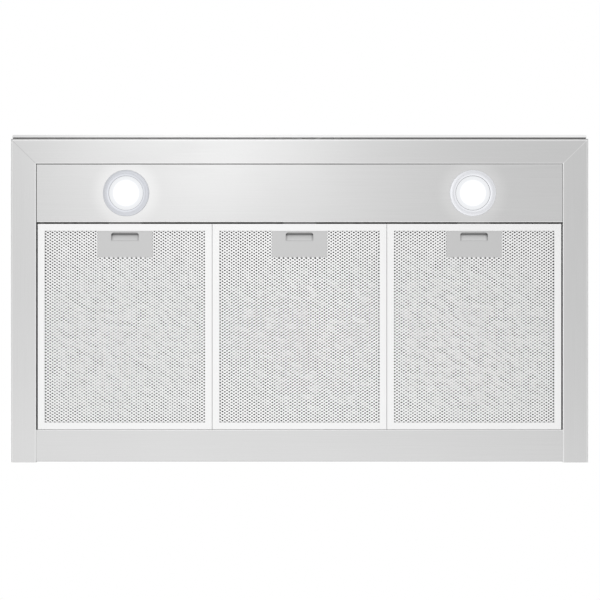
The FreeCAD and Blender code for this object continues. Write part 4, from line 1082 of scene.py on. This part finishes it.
# %% [markdown]
# ## The screws
# Pan head screws hold the collar, the chimney and the junction box. A spun head alone would be a
# plain button, so its flat top is inset, every second corner of the inset is drawn inwards to make
# a six-lobed star, and the star is pushed in for the driver. One screw is made upright, and turned
# copies of it are set where the CAD screws are.

# %% One screw with a star recess
SHANK = 1.5 * MM
HEAD = 3.2 * MM
HEAD_HEIGHT = 1.8 * MM
SCREW_LENGTH = 5.0 * MM
SCREW_PROFILE = [(0, -SCREW_LENGTH), (SHANK, -SCREW_LENGTH), (SHANK, 0), (HEAD, 0),
                 (HEAD, 0.8 * MM), (HEAD - 0.25 * MM, 1.3 * MM), (HEAD - 0.9 * MM, HEAD_HEIGHT)]
STAR_POINTS = 12
STAR_INSET = 0.5 * MM
STAR_WAIST = 0.68
STAR_DEPTH = 1.0 * MM


def star_screw(target, seat, way):
    """Add a screw whose head sits at a point and faces a way."""
    shape = spun(SCREW_PROFILE, Vector(), Z_AXIS, STAR_POINTS)
    mouth = [edge for edge in shape.edges if edge.is_boundary]
    top = bmesh.ops.contextual_create(shape, geom=mouth)["faces"]
    bmesh.ops.recalc_face_normals(shape, faces=shape.faces)
    bmesh.ops.inset_region(shape, faces=top, thickness=STAR_INSET)
    for corner in list(top[0].verts)[::2]:
        corner.co.xy *= STAR_WAIST
    pushed = bmesh.ops.extrude_face_region(shape, geom=top)["geom"]
    bottom = [item for item in pushed if isinstance(item, bmesh.types.BMVert)]
    bmesh.ops.translate(shape, verts=bottom, vec=(0, 0, -STAR_DEPTH))
    bmesh.ops.delete(shape, geom=top, context="FACES_ONLY")
    turn = Vector(way).to_track_quat("Z", "Y").to_matrix().to_4x4()
    bmesh.ops.transform(shape, matrix=Matrix.Translation(seat) @ turn, verts=shape.verts)
    bmesh.ops.recalc_face_normals(shape, faces=shape.faces)
    data = bpy.data.meshes.new("one_screw")
    shape.to_mesh(data)
    shape.free()
    target.from_mesh(data)
    bpy.data.meshes.remove(data)


print("a star of", STAR_POINTS // 2, "lobes")

# %% Set the screws
POST_INSET = 10.0 * MM
CHIMNEY_SCREW_INSET = 65.0 * MM
BRACKET_SCREW_Y = -22.3 * MM


def middle_of(node):
    low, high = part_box(node)
    return (low + high) / 2


def collar_seats():
    ring_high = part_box("collar_flange")[1]
    reach = (ring_high.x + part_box("exhaust_collar")[1].x) / 2
    middle = middle_of("collar_flange")
    for way in ((1, 0), (0, 1), (-1, 0), (0, -1)):
        yield Vector((reach * way[0], middle.y + reach * way[1], ring_high.z)), Z_AXIS


def side_seats():
    low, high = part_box("lower_chimney")
    z = middle_of("chimney_foot").z
    for y in (low.y + CHIMNEY_SCREW_INSET, -CHIMNEY_SCREW_INSET):
        yield Vector((low.x, y, z)), -X_AXIS
        yield Vector((high.x, y, z)), X_AXIS


def box_seats():
    low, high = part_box("junction_box_cover")
    z = middle_of("junction_box_cover").z
    for x in (low.x + POST_INSET, high.x - POST_INSET):
        yield Vector((x, low.y, z)), -Y_AXIS


def bracket_seats():
    low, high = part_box("upper_chimney")
    z = middle_of("chimney_bracket").z
    yield Vector((low.x, BRACKET_SCREW_Y, z)), -X_AXIS
    yield Vector((high.x, BRACKET_SCREW_Y, z)), X_AXIS


def screw_set(name, seats, node, body):
    group = bmesh.new()
    for seat, way in seats:
        star_screw(group, seat, way)
    piece = linked(name, group, finishes["bright_steel"])
    smooth(piece)
    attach(piece, body)
    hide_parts(node)
    print(name, len(piece.data.polygons), "faces")


screw_set("star_screws", [*collar_seats(), *side_seats(), *box_seats()], "hood_screws", "hood")
screw_set("bracket_screws", [*bracket_seats()], "chimney_screws", "upper_cover")
